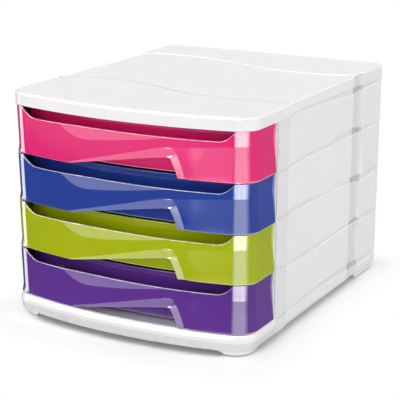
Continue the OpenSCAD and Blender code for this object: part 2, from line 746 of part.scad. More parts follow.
module front_pegs()
    for (x = [-peg_x, peg_x], z = peg_zs) {
        root = bow_y(peg_x, front_in + front_wall - stand_out(x, z)) - front_wall / 2;
        seat = bow_y(peg_x - peg_d, tray_in) - 0.3;
        tip = bow_y(peg_x - peg_d / 2, tray_in + tray_wall) + 1.5;
        translate([x, 0, z]) rotate([-90, 0, 0]) {
            translate([0, 0, root])
                cylinder(d = peg_d + 4, h = seat - root, $fn = 48);
            translate([0, 0, root])
                cylinder(d = peg_d, h = tip - root, $fn = 48);
        }
    }

module drawer_front(level) color(drawer_colours[level - 1])
    translate([0, 0, tier_z(level)]) {
        front_shell();
        front_pegs();
    }

front_visor();
top_cover();
tier(1);  // tier_1
tier(2);  // tier_2
tier(3);  // tier_3
tier(4);  // tier_4
base();
tray(1);  // tray_1
tray(2);  // tray_2
tray(3);  // tray_3
tray(4);  // tray_4
drawer_front(1);  // drawer_front_1
drawer_front(2);  // drawer_front_2
drawer_front(3);  // drawer_front_3
drawer_front(4);  // drawer_front_4
foot_pad(-pad_x, pad_ys[0]);  // foot_pad_front_left
foot_pad(pad_x, pad_ys[0]);  // foot_pad_front_right
foot_pad(-pad_x, pad_ys[1]);  // foot_pad_rear_left
foot_pad(pad_x, pad_ys[1]);  // foot_pad_rear_right
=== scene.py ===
"""Plastic drawer tower: its looks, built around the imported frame.

Shapes are written in millimetres, in the frame of the part: +X to the right, +Y to the back, +Z up.
"""
import json
import math

import bpy
from mathutils import Matrix, Vector

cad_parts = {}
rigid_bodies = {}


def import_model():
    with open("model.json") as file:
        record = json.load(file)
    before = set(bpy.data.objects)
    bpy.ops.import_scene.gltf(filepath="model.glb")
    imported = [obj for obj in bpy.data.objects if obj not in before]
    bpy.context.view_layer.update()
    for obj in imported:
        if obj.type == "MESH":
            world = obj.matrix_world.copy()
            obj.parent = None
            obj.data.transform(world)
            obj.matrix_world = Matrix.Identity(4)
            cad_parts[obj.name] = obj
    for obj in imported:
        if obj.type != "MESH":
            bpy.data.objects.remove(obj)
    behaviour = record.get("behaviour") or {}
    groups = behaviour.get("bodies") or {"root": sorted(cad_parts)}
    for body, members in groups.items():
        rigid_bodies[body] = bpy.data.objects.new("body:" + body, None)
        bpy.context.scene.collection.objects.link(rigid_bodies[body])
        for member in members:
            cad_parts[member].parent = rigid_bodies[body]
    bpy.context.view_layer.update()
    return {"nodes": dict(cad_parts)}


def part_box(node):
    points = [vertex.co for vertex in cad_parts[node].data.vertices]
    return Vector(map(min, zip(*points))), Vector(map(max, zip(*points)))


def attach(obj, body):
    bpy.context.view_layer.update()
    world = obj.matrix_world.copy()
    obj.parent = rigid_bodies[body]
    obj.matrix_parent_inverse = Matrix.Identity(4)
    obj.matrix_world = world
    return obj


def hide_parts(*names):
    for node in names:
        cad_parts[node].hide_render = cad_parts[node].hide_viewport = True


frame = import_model()
scene = bpy.context.scene

# ---------- sizes, from the frame where it has them ----------

MM = 0.001
TIERS = 4
visor_low, visor_high = (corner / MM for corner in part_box("front_visor"))
tongue = 1.6  # how far a tier reaches down into the moulding under it
half_w = visor_high.x
y_front = visor_low.y
y_back = (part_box("base")[1] / MM).y
base_h = (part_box("tier_4")[0] / MM).z + tongue
cover_z = visor_low.z
top_z = visor_high.z
tier_h = (cover_z - base_h) / TIERS

bow_r = 530
corner_r = 25
rear_r = 7
wall = 2.8
collar_rise = 1.5
seam_y = y_front + 107
groove_w = 4
groove_d = 3
waist_in = 2
waist_bow = 0.5
band_y1 = y_back - 66
band_y0 = band_y1 - 22
band_d = 0.7
relief_d = 0.8
collar_in = 1
wave_amp = 18.5
joint_wave = 300
collar_wave = 330
step_w = 2.6
lid_edge = 3
part_gap = 0.6
inner_x = half_w - 5.8
cheek_y = seam_y - 31
cheek_wall = wall + 0.4
cheek_inner_x = half_w - cheek_wall

front_in = 2.6
front_wall = 2.2
flare = 2.2
tray_in = front_in + front_wall + 17.5
tray_wall = 1.8
tray_top = 48
tray_floor = 1
ledge_z = 3.6
ledge_t = 2
ledge_x = inner_x - 10.4
ledge_y = cheek_y - 19
tray_half = inner_x - 3
tray_low_half = ledge_x - 1
tray_step = ledge_z + ledge_t + 0.5
tray_back = y_back - wall - 10
nub_y = tray_back - 7
nub_t = 3
nub_out = 2.5
travel = 250
slide_gap = 0.5
stop_t = 3
stop_y = nub_y - travel - slide_gap - stop_t
bracket_run = 14
peg_x = 100
peg_zs = (12, 26)
pad_d = 18
pad_top = 2.8
skirt_z = 7
pad_out = 1.2
foot_x = half_w - 28
foot_bevel = 5
foot_inset = 2.6
foot_taper = 5
rib_t = 1.6
rib_xs = [share * inner_x / 3 for share in (-2, -1, 0, 1, 2)]
crown_x = 92
crown_run = 8
crown_top = tier_h - 0.8
OVER = 0.4  # how far a fitting reaches into the wall that carries it
FACE_GAP = 0.05  # keeps faces of neighbouring mouldings apart


def tier_z(level):
    return base_h + (TIERS - level) * tier_h


# ---------- small maths ----------

def clamp01(t):
    return min(1.0, max(0.0, t))


def ease(t):
    c = clamp01(t)
    return c * c * (3 - 2 * c)


def mix(a, b, t):
    return a + (b - a) * t


def steps(a, b, n, last=False):
    """n even steps from a towards b, with b itself if last."""
    return [mix(a, b, i / n) for i in range(n + (1 if last else 0))]


def rounded(corners, segments=4):
    """An open line of (x, y, radius) corners, with each inner corner replaced by an arc."""
    line = [Vector(corners[0][:2])]
    for before, corner, after in zip(corners, corners[1:], corners[2:]):
        c, radius = Vector(corner[:2]), corner[2]
        d0, d1 = Vector(before[:2]) - c, Vector(after[:2]) - c
        if radius <= 0 or d0.length < 1e-6 or d1.length < 1e-6:
            line.append(c)
            continue
        half = d0.angle(d1) / 2
        run = min(radius / math.tan(half), d0.length * 0.48, d1.length * 0.48)
        start, end = c + d0.normalized() * run, c + d1.normalized() * run
        for i in range(segments + 1):
            t = i / segments
            line.append(start * (1 - t) ** 2 + c * 2 * t * (1 - t) + end * t * t)
    line.append(Vector(corners[-1][:2]))
    return line


# ---------- mesh building ----------

class Skin:
    """Collects faces by their corners in millimetres; corners in one place share a vertex."""

    def __init__(self):
        self.index, self.points, self.faces, self.slots = {}, [], [], []

    def vertex(self, p):
        key = (round(p[0], 3), round(p[1], 3), round(p[2], 3))
        if key not in self.index:
            self.index[key] = len(self.points)
            self.points.append(Vector(p) * MM)
        return self.index[key]

    def face(self, corners, slot=0):
        ids = []
        for p in corners:
            i = self.vertex(p)
            if not ids or ids[-1] != i:
                ids.append(i)
        if len(ids) > 1 and ids[0] == ids[-1]:
            ids.pop()
        if len(set(ids)) > 2 and len(set(ids)) == len(ids):
            self.faces.append(ids)
            self.slots.append(slot)

    def strip(self, a, b, closed=False, slot=0):
        """Quads between two lines of points; slot may be a function of the index."""
        n = len(a)
        for i in range(n if closed else n - 1):
            j = (i + 1) % n
            self.face((a[i], a[j], b[j], b[i]), slot(i) if callable(slot) else slot)

    def lines(self, rings, closed=False, slot=0):
        for k, (a, b) in enumerate(zip(rings, rings[1:])):
            self.strip(a, b, closed, (lambda i, k=k: slot(k, i)) if callable(slot) else slot)

    def wall(self, columns, side=1, slot=0):
        """Quads between columns of points, turned over if side is -1; slot may be a function."""
        for i, (a, b) in enumerate(zip(columns, columns[1:])):
            for k in range(len(a) - 1):
                quad = (a[k], b[k], b[k + 1], a[k + 1])
                self.face(quad if side > 0 else quad[::-1], slot(i, k) if callable(slot) else slot)

    def box(self, xs, ys, zs):
        """Plain block between two values of x, of y and of z."""
        x0, x1 = sorted(xs)
        ring = [(x0, ys[0]), (x1, ys[0]), (x1, ys[1]), (x0, ys[1])]
        self.tube([[(x, y, z) for x, y in ring] for z in zs])

    def tube(self, rings):
        """Rings that run anticlockwise seen from the end they rise to, with a cap at each end."""
        self.face(list(reversed(rings[0])))
        self.lines(rings, closed=True)
        self.face(rings[-1])

    def build(self, name, materials, body, node=None, slot_name=None, bevel=0.0):
        mesh = bpy.data.meshes.new(name)
        mesh.from_pydata(self.points, [], self.faces)
        for material in materials:
            mesh.materials.append(material)
        mesh.polygons.foreach_set("material_index", self.slots)
        mesh.validate()
        mesh.shade_smooth()
        mesh.set_sharp_from_angle(angle=math.radians(38))
        piece = bpy.data.objects.new(name, mesh)
        scene.collection.objects.link(piece)
        if bevel:
            cut = piece.modifiers.new("edges", "BEVEL")
            cut.width = bevel * MM
            cut.segments = 3
            cut.limit_method = "ANGLE"
            cut.angle_limit = math.radians(50)
            cut.harden_normals = True
        weights = piece.modifiers.new("normals", "WEIGHTED_NORMAL")
        weights.keep_sharp = True
        weights.weight = 80
        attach(piece, body)
        if node:
            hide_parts(node)
        return piece


# ---------- materials ----------

def tune(node, values):
    """Sets a node's inputs, or its own settings where it has no input of that name."""
    for name, value in values.items():
        if name in node.inputs:
            node.inputs[name].default_value = value
        else:
            setattr(node, name, value)
    return node


def node_at(tree, kind, **values):
    return tune(tree.nodes.new(kind), values)


def link(tree, source, node, socket=0):
    """Feeds a node's input from an output, and returns the node."""
    tree.links.new(source, node.inputs[socket])
    return node


def noise_at(tree, coords, scale, detail=2.0, rough=0.5):
    node = node_at(tree, "ShaderNodeTexNoise", Scale=scale, Detail=detail, Roughness=rough)
    return link(tree, coords.outputs["Object"], node, "Vector").outputs["Fac"]


def math_at(tree, operation, a, b):
    """Output of a maths node fed by two outputs."""
    node = node_at(tree, "ShaderNodeMath", operation=operation)
    link(tree, a, node)
    return link(tree, b, node, 1).outputs[0]


def remap(tree, source, low, high, from_low=0.3, from_high=0.7, smooth=False):
    """Output that runs from low to high while source runs from from_low to from_high."""
    span = {"From Min": from_low, "From Max": from_high, "To Min": low, "To Max": high}
    node = node_at(tree, "ShaderNodeMapRange", **span)
    if smooth:
        node.interpolation_type = "SMOOTHSTEP"
    return link(tree, source, node, "Value").outputs[0]


def moulded(name, color, deep, rough, coat=0.0, grain=0.02, grain_scale=2600, specular=0.5, ior=1.55):
    """Moulded plastic: slow drifts of tone between color and deep, uneven gloss and a fine grain."""
    material = bpy.data.materials.new(name)
    material.use_nodes = True
    tree = material.node_tree
    shader = tune(tree.nodes["Principled BSDF"], {
        "IOR": ior, "Specular IOR Level": specular, "Coat Weight": coat, "Coat Roughness": 0.04})
    coords = tree.nodes.new("ShaderNodeTexCoord")

    drift = remap(tree, noise_at(tree, coords, 9, 3), 0, 0.7)
    flow = remap(tree, noise_at(tree, coords, 45, 4, 0.6), 0, 0.3)
    tone = node_at(tree, "ShaderNodeMix", data_type="RGBA", A=(*color, 1), B=(*deep, 1))
    link(tree, math_at(tree, "ADD", drift, flow), tone, "Factor")
    link(tree, tone.outputs["Result"], shader, "Base Color")

    wipe = noise_at(tree, coords, 22, 5, 0.65)
    link(tree, remap(tree, wipe, rough * 0.85, rough * 1.2), shader, "Roughness")

    rise = math_at(tree, "ADD", noise_at(tree, coords, grain_scale), noise_at(tree, coords, 60))
    bump = node_at(tree, "ShaderNodeBump", Strength=grain, Distance=0.0004)
    link(tree, rise, bump, "Height")
    link(tree, bump.outputs["Normal"], shader, "Normal")
    return material


# the casing's plain walls; darker copies of the same plastic as painted shade for the relief, the rear band
# and where these cross; and a near-black copy as painted shadow on the walls of the joint
casing_set = [
    moulded("casing_plastic", (0.80, 0.785, 0.79), (0.77, 0.755, 0.762), 0.34, 0.15, 0.05),
    moulded("casing_relief_painted_shade", (0.745, 0.73, 0.737), (0.72, 0.705, 0.712), 0.3, 0.15, 0.03),
    moulded("casing_band_painted_shade", (0.69, 0.675, 0.682), (0.66, 0.645, 0.652), 0.28, 0.15, 0.03),
    moulded("casing_cross_painted_shade", (0.50, 0.485, 0.495), (0.47, 0.455, 0.465), 0.26, 0.15, 0.03),
    moulded("casing_joint_painted_shadow", (0.16, 0.155, 0.16), (0.14, 0.135, 0.14), 0.5, 0.0, 0.03),
]
PLAIN, RELIEF_SHADE, BAND_SHADE, CROSS_SHADE, JOINT_SHADOW = range(len(casing_set))
rubber = moulded("foot_rubber", (0.13, 0.13, 0.135), (0.09, 0.09, 0.095), 0.75, 0.0, 0.5, 900)

DRAWER_TONES = {
    "pink": ((0.78, 0.018, 0.18), (0.73, 0.014, 0.16)),
    "blue": ((0.020, 0.052, 0.32), (0.016, 0.044, 0.28)),
    "lime": ((0.39, 0.45, 0.004), (0.36, 0.42, 0.003)),
    "violet": ((0.11, 0.032, 0.27), (0.10, 0.027, 0.24)),
}


def drawer_set(name):
    """A drawer's plain faces, a paler copy of them as painted highlight on its edges, and its corners and
    arch from polished parts of the mould.
    """
    tone, deep = DRAWER_TONES[name]
    # paler tones: painted highlight for the edges
    pale, pale_deep = [mix(v, 1, 0.3) for v in tone], [mix(v, 1, 0.25) for v in deep]
    return [
        moulded(f"drawer_{name}", tone, deep, 0.09, 0.0, 0.006, 1500, 0.4),
        moulded(f"drawer_{name}_edge", pale, pale_deep, 0.12, 0.0, 0.006, 1500, 0.4),
        moulded(f"drawer_{name}_polished", tone, deep, 0.07, 1.0, 0.004, 1500, 1.0, 1.7),
    ]


# materials and slot of each drawer, from the top one down
drawer_sets = [drawer_set(name) for name in DRAWER_TONES]
drawer_slots = [f"drawer_{name}" for name in DRAWER_TONES]
FACE, EDGE_HIGHLIGHT, POLISHED = range(3)


# ---------- plan of the casing ----------

def bow_form(half, apex, r_bow, r_corner):
    """Bow centre y, corner centre x and y, and the turn at which the bow passes into the corner."""
    cy, cx, reach = apex + r_bow, half - r_corner, r_bow - r_corner
    return cy, cx, cy - math.sqrt(reach * reach - cx * cx), math.asin(cx / reach)


bow_cy, corner_cx, corner_cy, turn = bow_form(half_w, y_front, bow_r, corner_r)


def bow_curve(half, apex, r_bow, r_corner, n_bow, n_corner):
    """Bowed front from its right end to its left end."""
    cy, cx, c_y, angle = bow_form(half, apex, r_bow, r_corner)
    right = [(cx + r_corner * math.sin(a), c_y - r_corner * math.cos(a))
             for a in steps(math.pi / 2, angle, n_corner)]
    middle = [(r_bow * math.sin(a), cy - r_bow * math.cos(a)) for a in steps(angle, -angle, n_bow, True)]
    left = [(-x, y) for x, y in reversed(right)]
    return right + middle + left


def front_curve(inset, n_bow=56, n_corner=12):
    return bow_curve(half_w - inset, y_front + inset, bow_r - inset, max(1, corner_r - inset),
                     n_bow, n_corner)


# Distance of the side from the widest line, from the cheek to the rear corner, as (y, inset, radius)
SIDE_LINE = rounded([
    (cheek_y, 0, 0),
    (seam_y - groove_w / 2 - 0.8, 0, 0.7),
    (seam_y - groove_w / 2 + 0.1, groove_d, 0.5),
    (seam_y + groove_w / 2 - 0.1, groove_d, 0.5),
    (seam_y + groove_w / 2 + 1, waist_in, 0.9),
    ((band_y0 + seam_y) / 2, waist_in + waist_bow, 200),
    (band_y0 - 0.9, waist_in, 0.7),
    (band_y0 + 0.5, waist_in + band_d, 0.6),
    (band_y1 - 0.7, waist_in + band_d, 0.6),
    (band_y1 + 2.2, 0, 1.6),
    (y_back - rear_r, collar_in, 0),
], 5)


def side_inset(y):
    """Distance of the side from the widest line at a depth."""
    if y <= SIDE_LINE[0].x:
        return SIDE_LINE[0].y
    for a, b in zip(SIDE_LINE, SIDE_LINE[1:]):
        if y <= b.x:
            return mix(a.y, b.y, (y - a.x) / max(1e-9, b.x - a.x))
    return SIDE_LINE[-1].y


def side_depths(extra=()):
    """Depths at which the side has a column: the corners of its plan, and enough for smooth curves."""
    ys = sorted({round(p.x, 3) for p in SIDE_LINE} | {round(y, 3) for y in extra})
    full = []
    for a, b in zip(ys, ys[1:]):
        full += steps(a, b, max(1, math.ceil((b - a) / 6)))
    return full + [ys[-1]]


# ---------- waves across the top, swooshes along the sides ----------

def visor_joint(x):
    return (seam_y + 6 - wave_amp * math.sin(math.tau * (x + 10) / joint_wave)
            - 8 * (abs(x) / half_w) ** 4)


def collar_step(x):
    return band_y0 + 3 - wave_amp * math.sin(math.tau * (x + 3) / collar_wave)


SIDE_RUN = band_y0 - seam_y
SWOOSH_Y = [cheek_y, seam_y] + [seam_y + share * SIDE_RUN for share in (0.22, 0.51, 0.74)] + [
    band_y0, band_y1, y_back]
SWOOSH_MID = [
    [0, 0, 0, -1, -2.4, -3.6, -3, -3],
    [-2, -2, 0.5, 2, 2.8, 2, 0.6, 0],
    [3.4, 3.8, 2.4, 0, -1.6, -3, -5.6, -6.4],
    [1, -1.6, -4, -4.4, -3.6, -2.4, -3, -6],
    [-1.6, -2, -1.6, -1.6, -2, -3, -4, -6],
]
SWOOSH_T = [
    [1, 1.4, 3, 4, 5.6, 8, 4.4, 1.8],
    [1.2, 4.6, 4.2, 1.4, 3.4, 8.6, 5.6, 1.6],
    [1.2, 4, 5.6, 3.2, 1.4, 7.2, 6, 1.8],
    [1.2, 2.8, 5, 4.2, 1.6, 4, 3.2, 1.6],
    [1.2, 1.4, 3, 4.6, 5.4, 8.4, 5, 1.8],
]


def at(values, y):
    """Smooth value at a depth between the values that belong to SWOOSH_Y."""
    i = next((i for i, end in enumerate(SWOOSH_Y[1:]) if y <= end), len(SWOOSH_Y) - 2)
    return mix(values[i], values[i + 1], ease((y - SWOOSH_Y[i]) / (SWOOSH_Y[i + 1] - SWOOSH_Y[i])))


def swoosh_edges(joint, y):
    """Lower and upper height of the swoosh along one joint of the stack."""
    middle = cover_z - joint * tier_h + at(SWOOSH_MID[joint], y)
    half = at(SWOOSH_T[joint], y) / 2
    return middle - half, middle + half


SLOPE = 0.35  # half the width of a relief's edge
EDGE_IN = 0.3  # bevel along the upper and lower edge of a wall
ROW_GAP = 0.01  # least distance of two rows of a wall


def side_rows(y, z0, z1, below, above):
    """Rows of a wall at one depth, as (height, share of the relief's depth, inset).

    below and above are the joints under and over the wall, or None.
    """
    low = z0 - 9 if below is None else swoosh_edges(below, y)[1]
    high = z1 + 9 if above is None else swoosh_edges(above, y)[0]
    rows = [(z0, EDGE_IN), (z0 + EDGE_IN, 0), (low - SLOPE, 0)]
    rows += [(mix(low + SLOPE, high - SLOPE, t), 0) for t in (0, 0.2, 0.4, 0.6, 0.8, 1)]
    rows += [(high + SLOPE, 0), (z1 - EDGE_IN, 0), (z1, EDGE_IN)]
    out, floor = [], z0
    for k, (z, inset) in enumerate(rows):
        z = min(max(z, z0 + ROW_GAP * k, floor), z1 - ROW_GAP * (len(rows) - 1 - k))
        out.append((z, clamp01(0.5 + max(low - z, z - high) / (2 * SLOPE)), inset))
        floor = z + ROW_GAP
    return out


# ---------- walls of the casing ----------

REAR_FADE = 3  # run over which the relief ends at the rear corner
ROLL = 8  # steps of a rolled edge
JOINT_STEPS = 72
JOINT_EDGE = 0.5  # round of the edges along the visor joint


def relief_fade(y):
    """Share of the relief that is left near the cheek's edge and the rear corner."""
    return ease((y_back - rear_r - y) / REAR_FADE) * ease((y - cheek_y) / 2 + 0.4)


def wall_points(y, side, rows, fade=1):
    """Column of the side wall at one depth: a point for each row."""
    reach = half_w - side_inset(y)
    return [(side * (reach - relief_d * share * fade - painted_highlight_edge), y, z) for z, share, painted_highlight_edge in rows]


def relief_painted_shade_slot(y, share):
    """Painted shade on the side: darker copies of the plastic over the strip before the seam, the recessed
    relief and the rear band, darkest in the groove and where the relief crosses the band.
    """
    if abs(y - seam_y) < groove_w / 2:
        return CROSS_SHADE
    if band_y0 < y < band_y1 + 2:
        return CROSS_SHADE if share > 0.5 else BAND_SHADE
    if y < seam_y:
        return BAND_SHADE if share > 0.5 else RELIEF_SHADE
    return RELIEF_SHADE if share > 0.5 else PLAIN


def side_slots(ys, rows):
    """Slot of each quad of a side wall, as a function of its column and row; it picks the quad's painted
    shade.
    """
    def slot(i, k):
        shares = [rows[i][k][1], rows[i][k + 1][1], rows[i + 1][k][1], rows[i + 1][k + 1][1]]
        return relief_painted_shade_slot((ys[i] + ys[i + 1]) / 2, sum(shares) / 4)
    return slot


def rear_plan(n_arc, n_back):
    """(x, y, normal x, normal y) round the rear right corner and along half of the back wall."""
    cx, cy = half_w - collar_in - rear_r, y_back - rear_r
    plan = [(cx + rear_r * math.cos(a), cy + rear_r * math.sin(a), math.cos(a), math.sin(a))
            for a in steps(0, math.pi / 2, n_arc, True)[1:]]
    return plan + [(x, y_back, 0, 1) for x in steps(cx, 0, n_back, True)[1:]]


def rear_column(side, x, y, nx, ny, rows):
    """Column of the rear wall, with the rows of the side wall's last column."""
    return [(side * (x - nx * inset), y - ny * inset, z) for z, share, inset in rows]


def rolled_edge(x, y, nx, ny, radius, top, n=ROLL):
    """Quarter round from a wall with an outward normal up to a height."""
    return [(x - nx * radius * (1 - math.cos(a)), y - ny * radius * (1 - math.cos(a)),
             top - radius * (1 - math.sin(a))) for a in steps(0, math.pi / 2, n, True)]


def outward(line):
    """Unit normals to the left of an open line of plan points."""
    out = []
    for before, after in zip(line[:1] + line, line[1:] + line[-1:]):
        way = Vector((after[0] - before[0], after[1] - before[1])).normalized()
        out.append((-way.y, way.x))
    return out


# ---------- tiers ----------

def tier_inside():
    """Plan of the right half of a tier's inside, from the middle of the back to the cheek."""
    return rounded([(0, y_back - wall, 0), (inner_x, y_back - wall, 3),
                    (inner_x, seam_y - groove_w, 2), (cheek_inner_x, seam_y - groove_w - 3, 2),
                    (cheek_inner_x, cheek_y + 0.5, 0)])


def cheek_lip():
    """Plan of the cheek's front edge, from the inside out."""
    return rounded([(cheek_inner_x, cheek_y + 0.5, 0), (cheek_inner_x, cheek_y, 0.5),
                    (half_w, cheek_y, 0.9), (half_w, cheek_y + 1.2, 0)])[1:-1]


def tier(level):
    """Moulding round one drawer: two sides and the back, open at the front, top and bottom."""
    z0, z1 = tier_z(level) + FACE_GAP, tier_z(level) + tier_h - FACE_GAP
    skin = Skin()
    ys = side_depths()
    rows = [side_rows(y, z0, z1, level, level - 1) for y in ys]
    for side in (1, -1):
        outer = [wall_points(y, side, r, relief_fade(y)) for y, r in zip(ys, rows)]
        rear = [rear_column(side, *node, rows[-1]) for node in rear_plan(6, 4)]
        heights = [p[2] for p in outer[0]]
        inner = [[(side * p.x, p.y, z) for z in heights] for p in tier_inside()]
        inner += [[(side * p.x, max(p.y, cheek_y), z) for z in heights] for p in cheek_lip()]
        skin.wall(outer, side, side_slots(ys, rows))
        skin.wall(outer[-1:] + rear, side)
        skin.wall(inner + outer[:1], side)
        for k, turned in ((0, side > 0), (-1, side < 0)):
            rim = [column[k] for column in inner + outer + rear]
            skin.face(rim[::-1] if turned else rim)
    skin.build(f"tier_shell_{level}", casing_set, "casing", f"tier_{level}", "casing")
    tier_ledges(level)


def tier_ledges(level):
    """Ledges that carry a tray, with their brackets, the stops and the bar across the front."""
    fittings = Skin()
    z = tier_z(level)
    ledge = (z + ledge_z, z + ledge_z + ledge_t)
    bracket_ys = (ledge_y, ledge_y + bracket_run)
    for side in (1, -1):
        start, cheek_x = side * ledge_x, side * (cheek_inner_x + OVER)
        fittings.box((start, side * (inner_x + OVER)), (ledge_y, y_back - wall + OVER), ledge)
        fittings.box((start, side * (ledge_x + wall)), bracket_ys, (z - tongue, ledge[1] - 0.2))
        fittings.box((side * (inner_x - OVER), cheek_x), (cheek_y + 1, seam_y - 1), ledge)
        fittings.box((side * (tray_half + slide_gap), cheek_x), (stop_y, stop_y + stop_t),
                     (ledge[0], z + tray_top + 3))
    fittings.box((-ledge_x - wall, ledge_x + wall), bracket_ys, (z - tongue, z + OVER))
    fittings.build(f"tier_ledges_{level}", casing_set, "casing", None, "casing", bevel=0.35)


# ---------- cover and visor ----------

def visor():
    """Curved rim over the drawers: rolled along the front and the sides, square at its joint."""
    skin = Skin()
    gap = part_gap / 2
    sides = {}
    for side in (1, -1):
        end = visor_joint(side * half_w) - gap
        ys = [y for y in side_depths() if y < end - 0.8] + [end - 0.4, end]
        sides[side] = [(side * (half_w - side_inset(y)), y) for y in ys]
    chain = sides[1][::-1] + front_curve(0)[1:-1] + sides[-1]
    first, last = len(sides[1]), len(chain) - len(sides[-1])
    normals = [(1, 0)] * first + outward(chain)[first:last] + [(-1, 0)] * len(sides[-1])
    outer = []
    for (x, y), (nx, ny) in zip(chain, normals):
        foot = [(x - nx * 0.35, y - ny * 0.35, cover_z), (x, y, cover_z + 0.35), (x, y, cover_z + 6)]
        outer.append(foot + rolled_edge(x, y, nx, ny, lid_edge, top_z))
    skin.wall(outer, -1)
    # the joint: a small round along the top edge with painted shade, then a wall down to the underside with
    # painted shadow
    joint = []
    for x in steps(outer[-1][-1][0], outer[0][-1][0], JOINT_STEPS, True):
        y = visor_joint(x) - gap
        joint.append(rolled_edge(x, y, 0, 1, JOINT_EDGE, top_z, 4)[::-1] + [(x, y, top_z - wall)])
    skin.lines(joint, slot=lambda k, i: JOINT_SHADOW if i > 0 else CROSS_SHADE)
    skin.face([column[-1] for column in outer] + [row[0] for row in joint])
    # the hollow underside, and the ends of the walls at the joint
    inner = ([(cheek_inner_x, y) for x, y in sides[1][::-1]] + front_curve(cheek_wall)[1:-1]
             + [(-cheek_inner_x, y) for x, y in sides[-1]])
    rim, ceiling = ([(x, y, z) for x, y in inner] for z in (cover_z, top_z - wall))
    skin.lines([[column[0] for column in outer], rim, ceiling])
    # the ends of the walls at the joint get painted shade
    skin.face((outer[0] + joint[-1] + [ceiling[0], rim[0]])[::-1], CROSS_SHADE)
    skin.face(outer[-1] + joint[0] + [ceiling[-1], rim[-1]], CROSS_SHADE)
    skin.face((ceiling + [row[-1] for row in joint])[::-1])
    skin.build("visor_shell", casing_set, "casing", "front_visor", "casing")


COLLAR_STEPS = 6


def top_at(x, y):
    """Height of the lid: the collar rises over its step."""
    return top_z + collar_rise * ease((y - collar_step(x)) / step_w)


def cover_side(side):
    """Columns of half of the cover's wall, from the joint round to the middle of the back.

    With them go the slot function of their quads and the places of the collar's step among them.
    """
    y_start = visor_joint(side * half_w) + part_gap / 2
    step_y = collar_step(side * half_w)
    step_ys = steps(step_y, step_y + step_w, COLLAR_STEPS, True)
    ys = [y_start + 0.3] + [y for y in side_depths(step_ys) if y > y_start + 0.5]
    rows = [side_rows(y, cover_z + FACE_GAP, top_z - lid_edge, 0, None) for y in ys]
    columns = []
    for y, r in zip(ys, rows):
        x, radius = side * (half_w - side_inset(y)), lid_edge * clamp01(0.3 + (y - ys[0]) / 3)
        top = rolled_edge(x, y, side, 0, radius, top_at(x, y))
        low = [p for p in wall_points(y, side, r) if p[2] < top[0][2] - 0.05]
        columns.append(low + [low[-1]] * (len(r) - len(low)) + top)
    for x, y, nx, ny in rear_plan(8, 5):
        top = rolled_edge(side * x, y, side * nx, ny, lid_edge, top_at(side * x, y))
        columns.append(rear_column(side, x, y, nx, ny, rows[-1]) + top)
    side_slot, n_rows = side_slots(ys, rows), len(rows[0])

    def slot(i, k):
        if i >= len(ys) - 1 or k >= n_rows + 2:
            return PLAIN
        return side_slot(i, k) if k < n_rows - 1 else relief_painted_shade_slot((ys[i] + ys[i + 1]) / 2, 0)

    marks = [min(range(len(ys)), key=lambda i, y=y: abs(ys[i] - y)) for y in step_ys]
    return columns, slot, marks


def cover():
    """Flat lid behind the visor, with an S-shaped collar at the rear."""
    skin = Skin()
    right, right_slot, right_marks = cover_side(1)
    left, left_slot, left_marks = cover_side(-1)
    skin.wall(right, 1, right_slot)
    skin.wall(left, -1, left_slot)
    # wall along the joint, with painted shadow on it and painted shade on its round
    low_zs = [p[2] for p in left[0][:-ROLL - 1]]
    joint = []
    for x in steps(left[0][0][0] + 0.3, right[0][0][0] - 0.3, JOINT_STEPS, True):
        y = visor_joint(x) + part_gap / 2
        joint.append([(x, y, z) for z in low_zs] + rolled_edge(x, y, 0, -1, JOINT_EDGE, top_z))
    run = [left[0]] + joint + [right[0]]
    skin.wall(run, 1, lambda i, k: JOINT_SHADOW if k < len(run[0]) - 4 else CROSS_SHADE)
    # top: the step of the collar, the area before it and the collar
    left_top, right_top, front_top = ([column[-1] for column in part] for part in (left, right, joint))
    step = []
    for k, (i, j) in enumerate(zip(left_marks, right_marks)):
        a, b, t = left_top[i], right_top[j], k / COLLAR_STEPS
        inner = [(x, collar_step(x) + step_w * t, top_z + collar_rise * ease(t))
                 for x in steps(a[0], b[0], JOINT_STEPS, True)[1:-1]]
        step.append([a] + inner + [b])
    skin.lines(step)
    skin.lines([step[0][1:-1], front_top[1:-1]])
    skin.face((left_top[:left_marks[0] + 1] + [step[0][1], front_top[1], front_top[0]])[::-1])
    skin.face(front_top[-2:] + right_top[:right_marks[0] + 1] + [step[0][-2]])
    skin.face(step[-1] + right_top[right_marks[-1] + 1:] + left_top[left_marks[-1] + 1:-1][::-1])
    skin.build("cover_shell", casing_set, "casing", "top_cover", "casing")


# ---------- base ----------

# Front of the base from the skirt up, as (z, inset, radius)
BASE_LINE = rounded([
    (skirt_z, 4.6, 0), (skirt_z, 2.2, 0.8), (skirt_z + 2.5, 1.2, 1.5), (base_h - 9.5, 0.15, 3),
    (base_h - 6, 0, 3), (base_h - 1.6, 1.2, 2.2), (base_h, 4.2, 1.0), (base_h - 0.1, 6.0, 0.4),
    (base_h - 1.8, 6.2, 0)], 5)


def base_ring(z, front_inset, side_x, rear_x, rear_y, r, side_z=None):
    """Closed line round the base: the rear right corner, the right side, the front, the left side."""
    lift = side_z or (lambda y: z)
    arc = [(rear_x - r + r * math.cos(a), rear_y - r + r * math.sin(a), lift(rear_y - r))
           for a in steps(math.pi / 2, 0, 6)]
    right = arc + [(side_x(y), min(y, rear_y - r), lift(y)) for y in reversed(side_depths())]
    left = [(-x, y, height) for x, y, height in reversed(right)]
    return right + [(x, y, z) for x, y in front_curve(front_inset)] + left


SWOOSH_ROW = base_h - 7  # row of the base's front that meets the lower edge of the swoosh
RELIEF_RUN = 0.7  # height over which the relief of the sides begins there
UNDERSIDE = base_h - wall


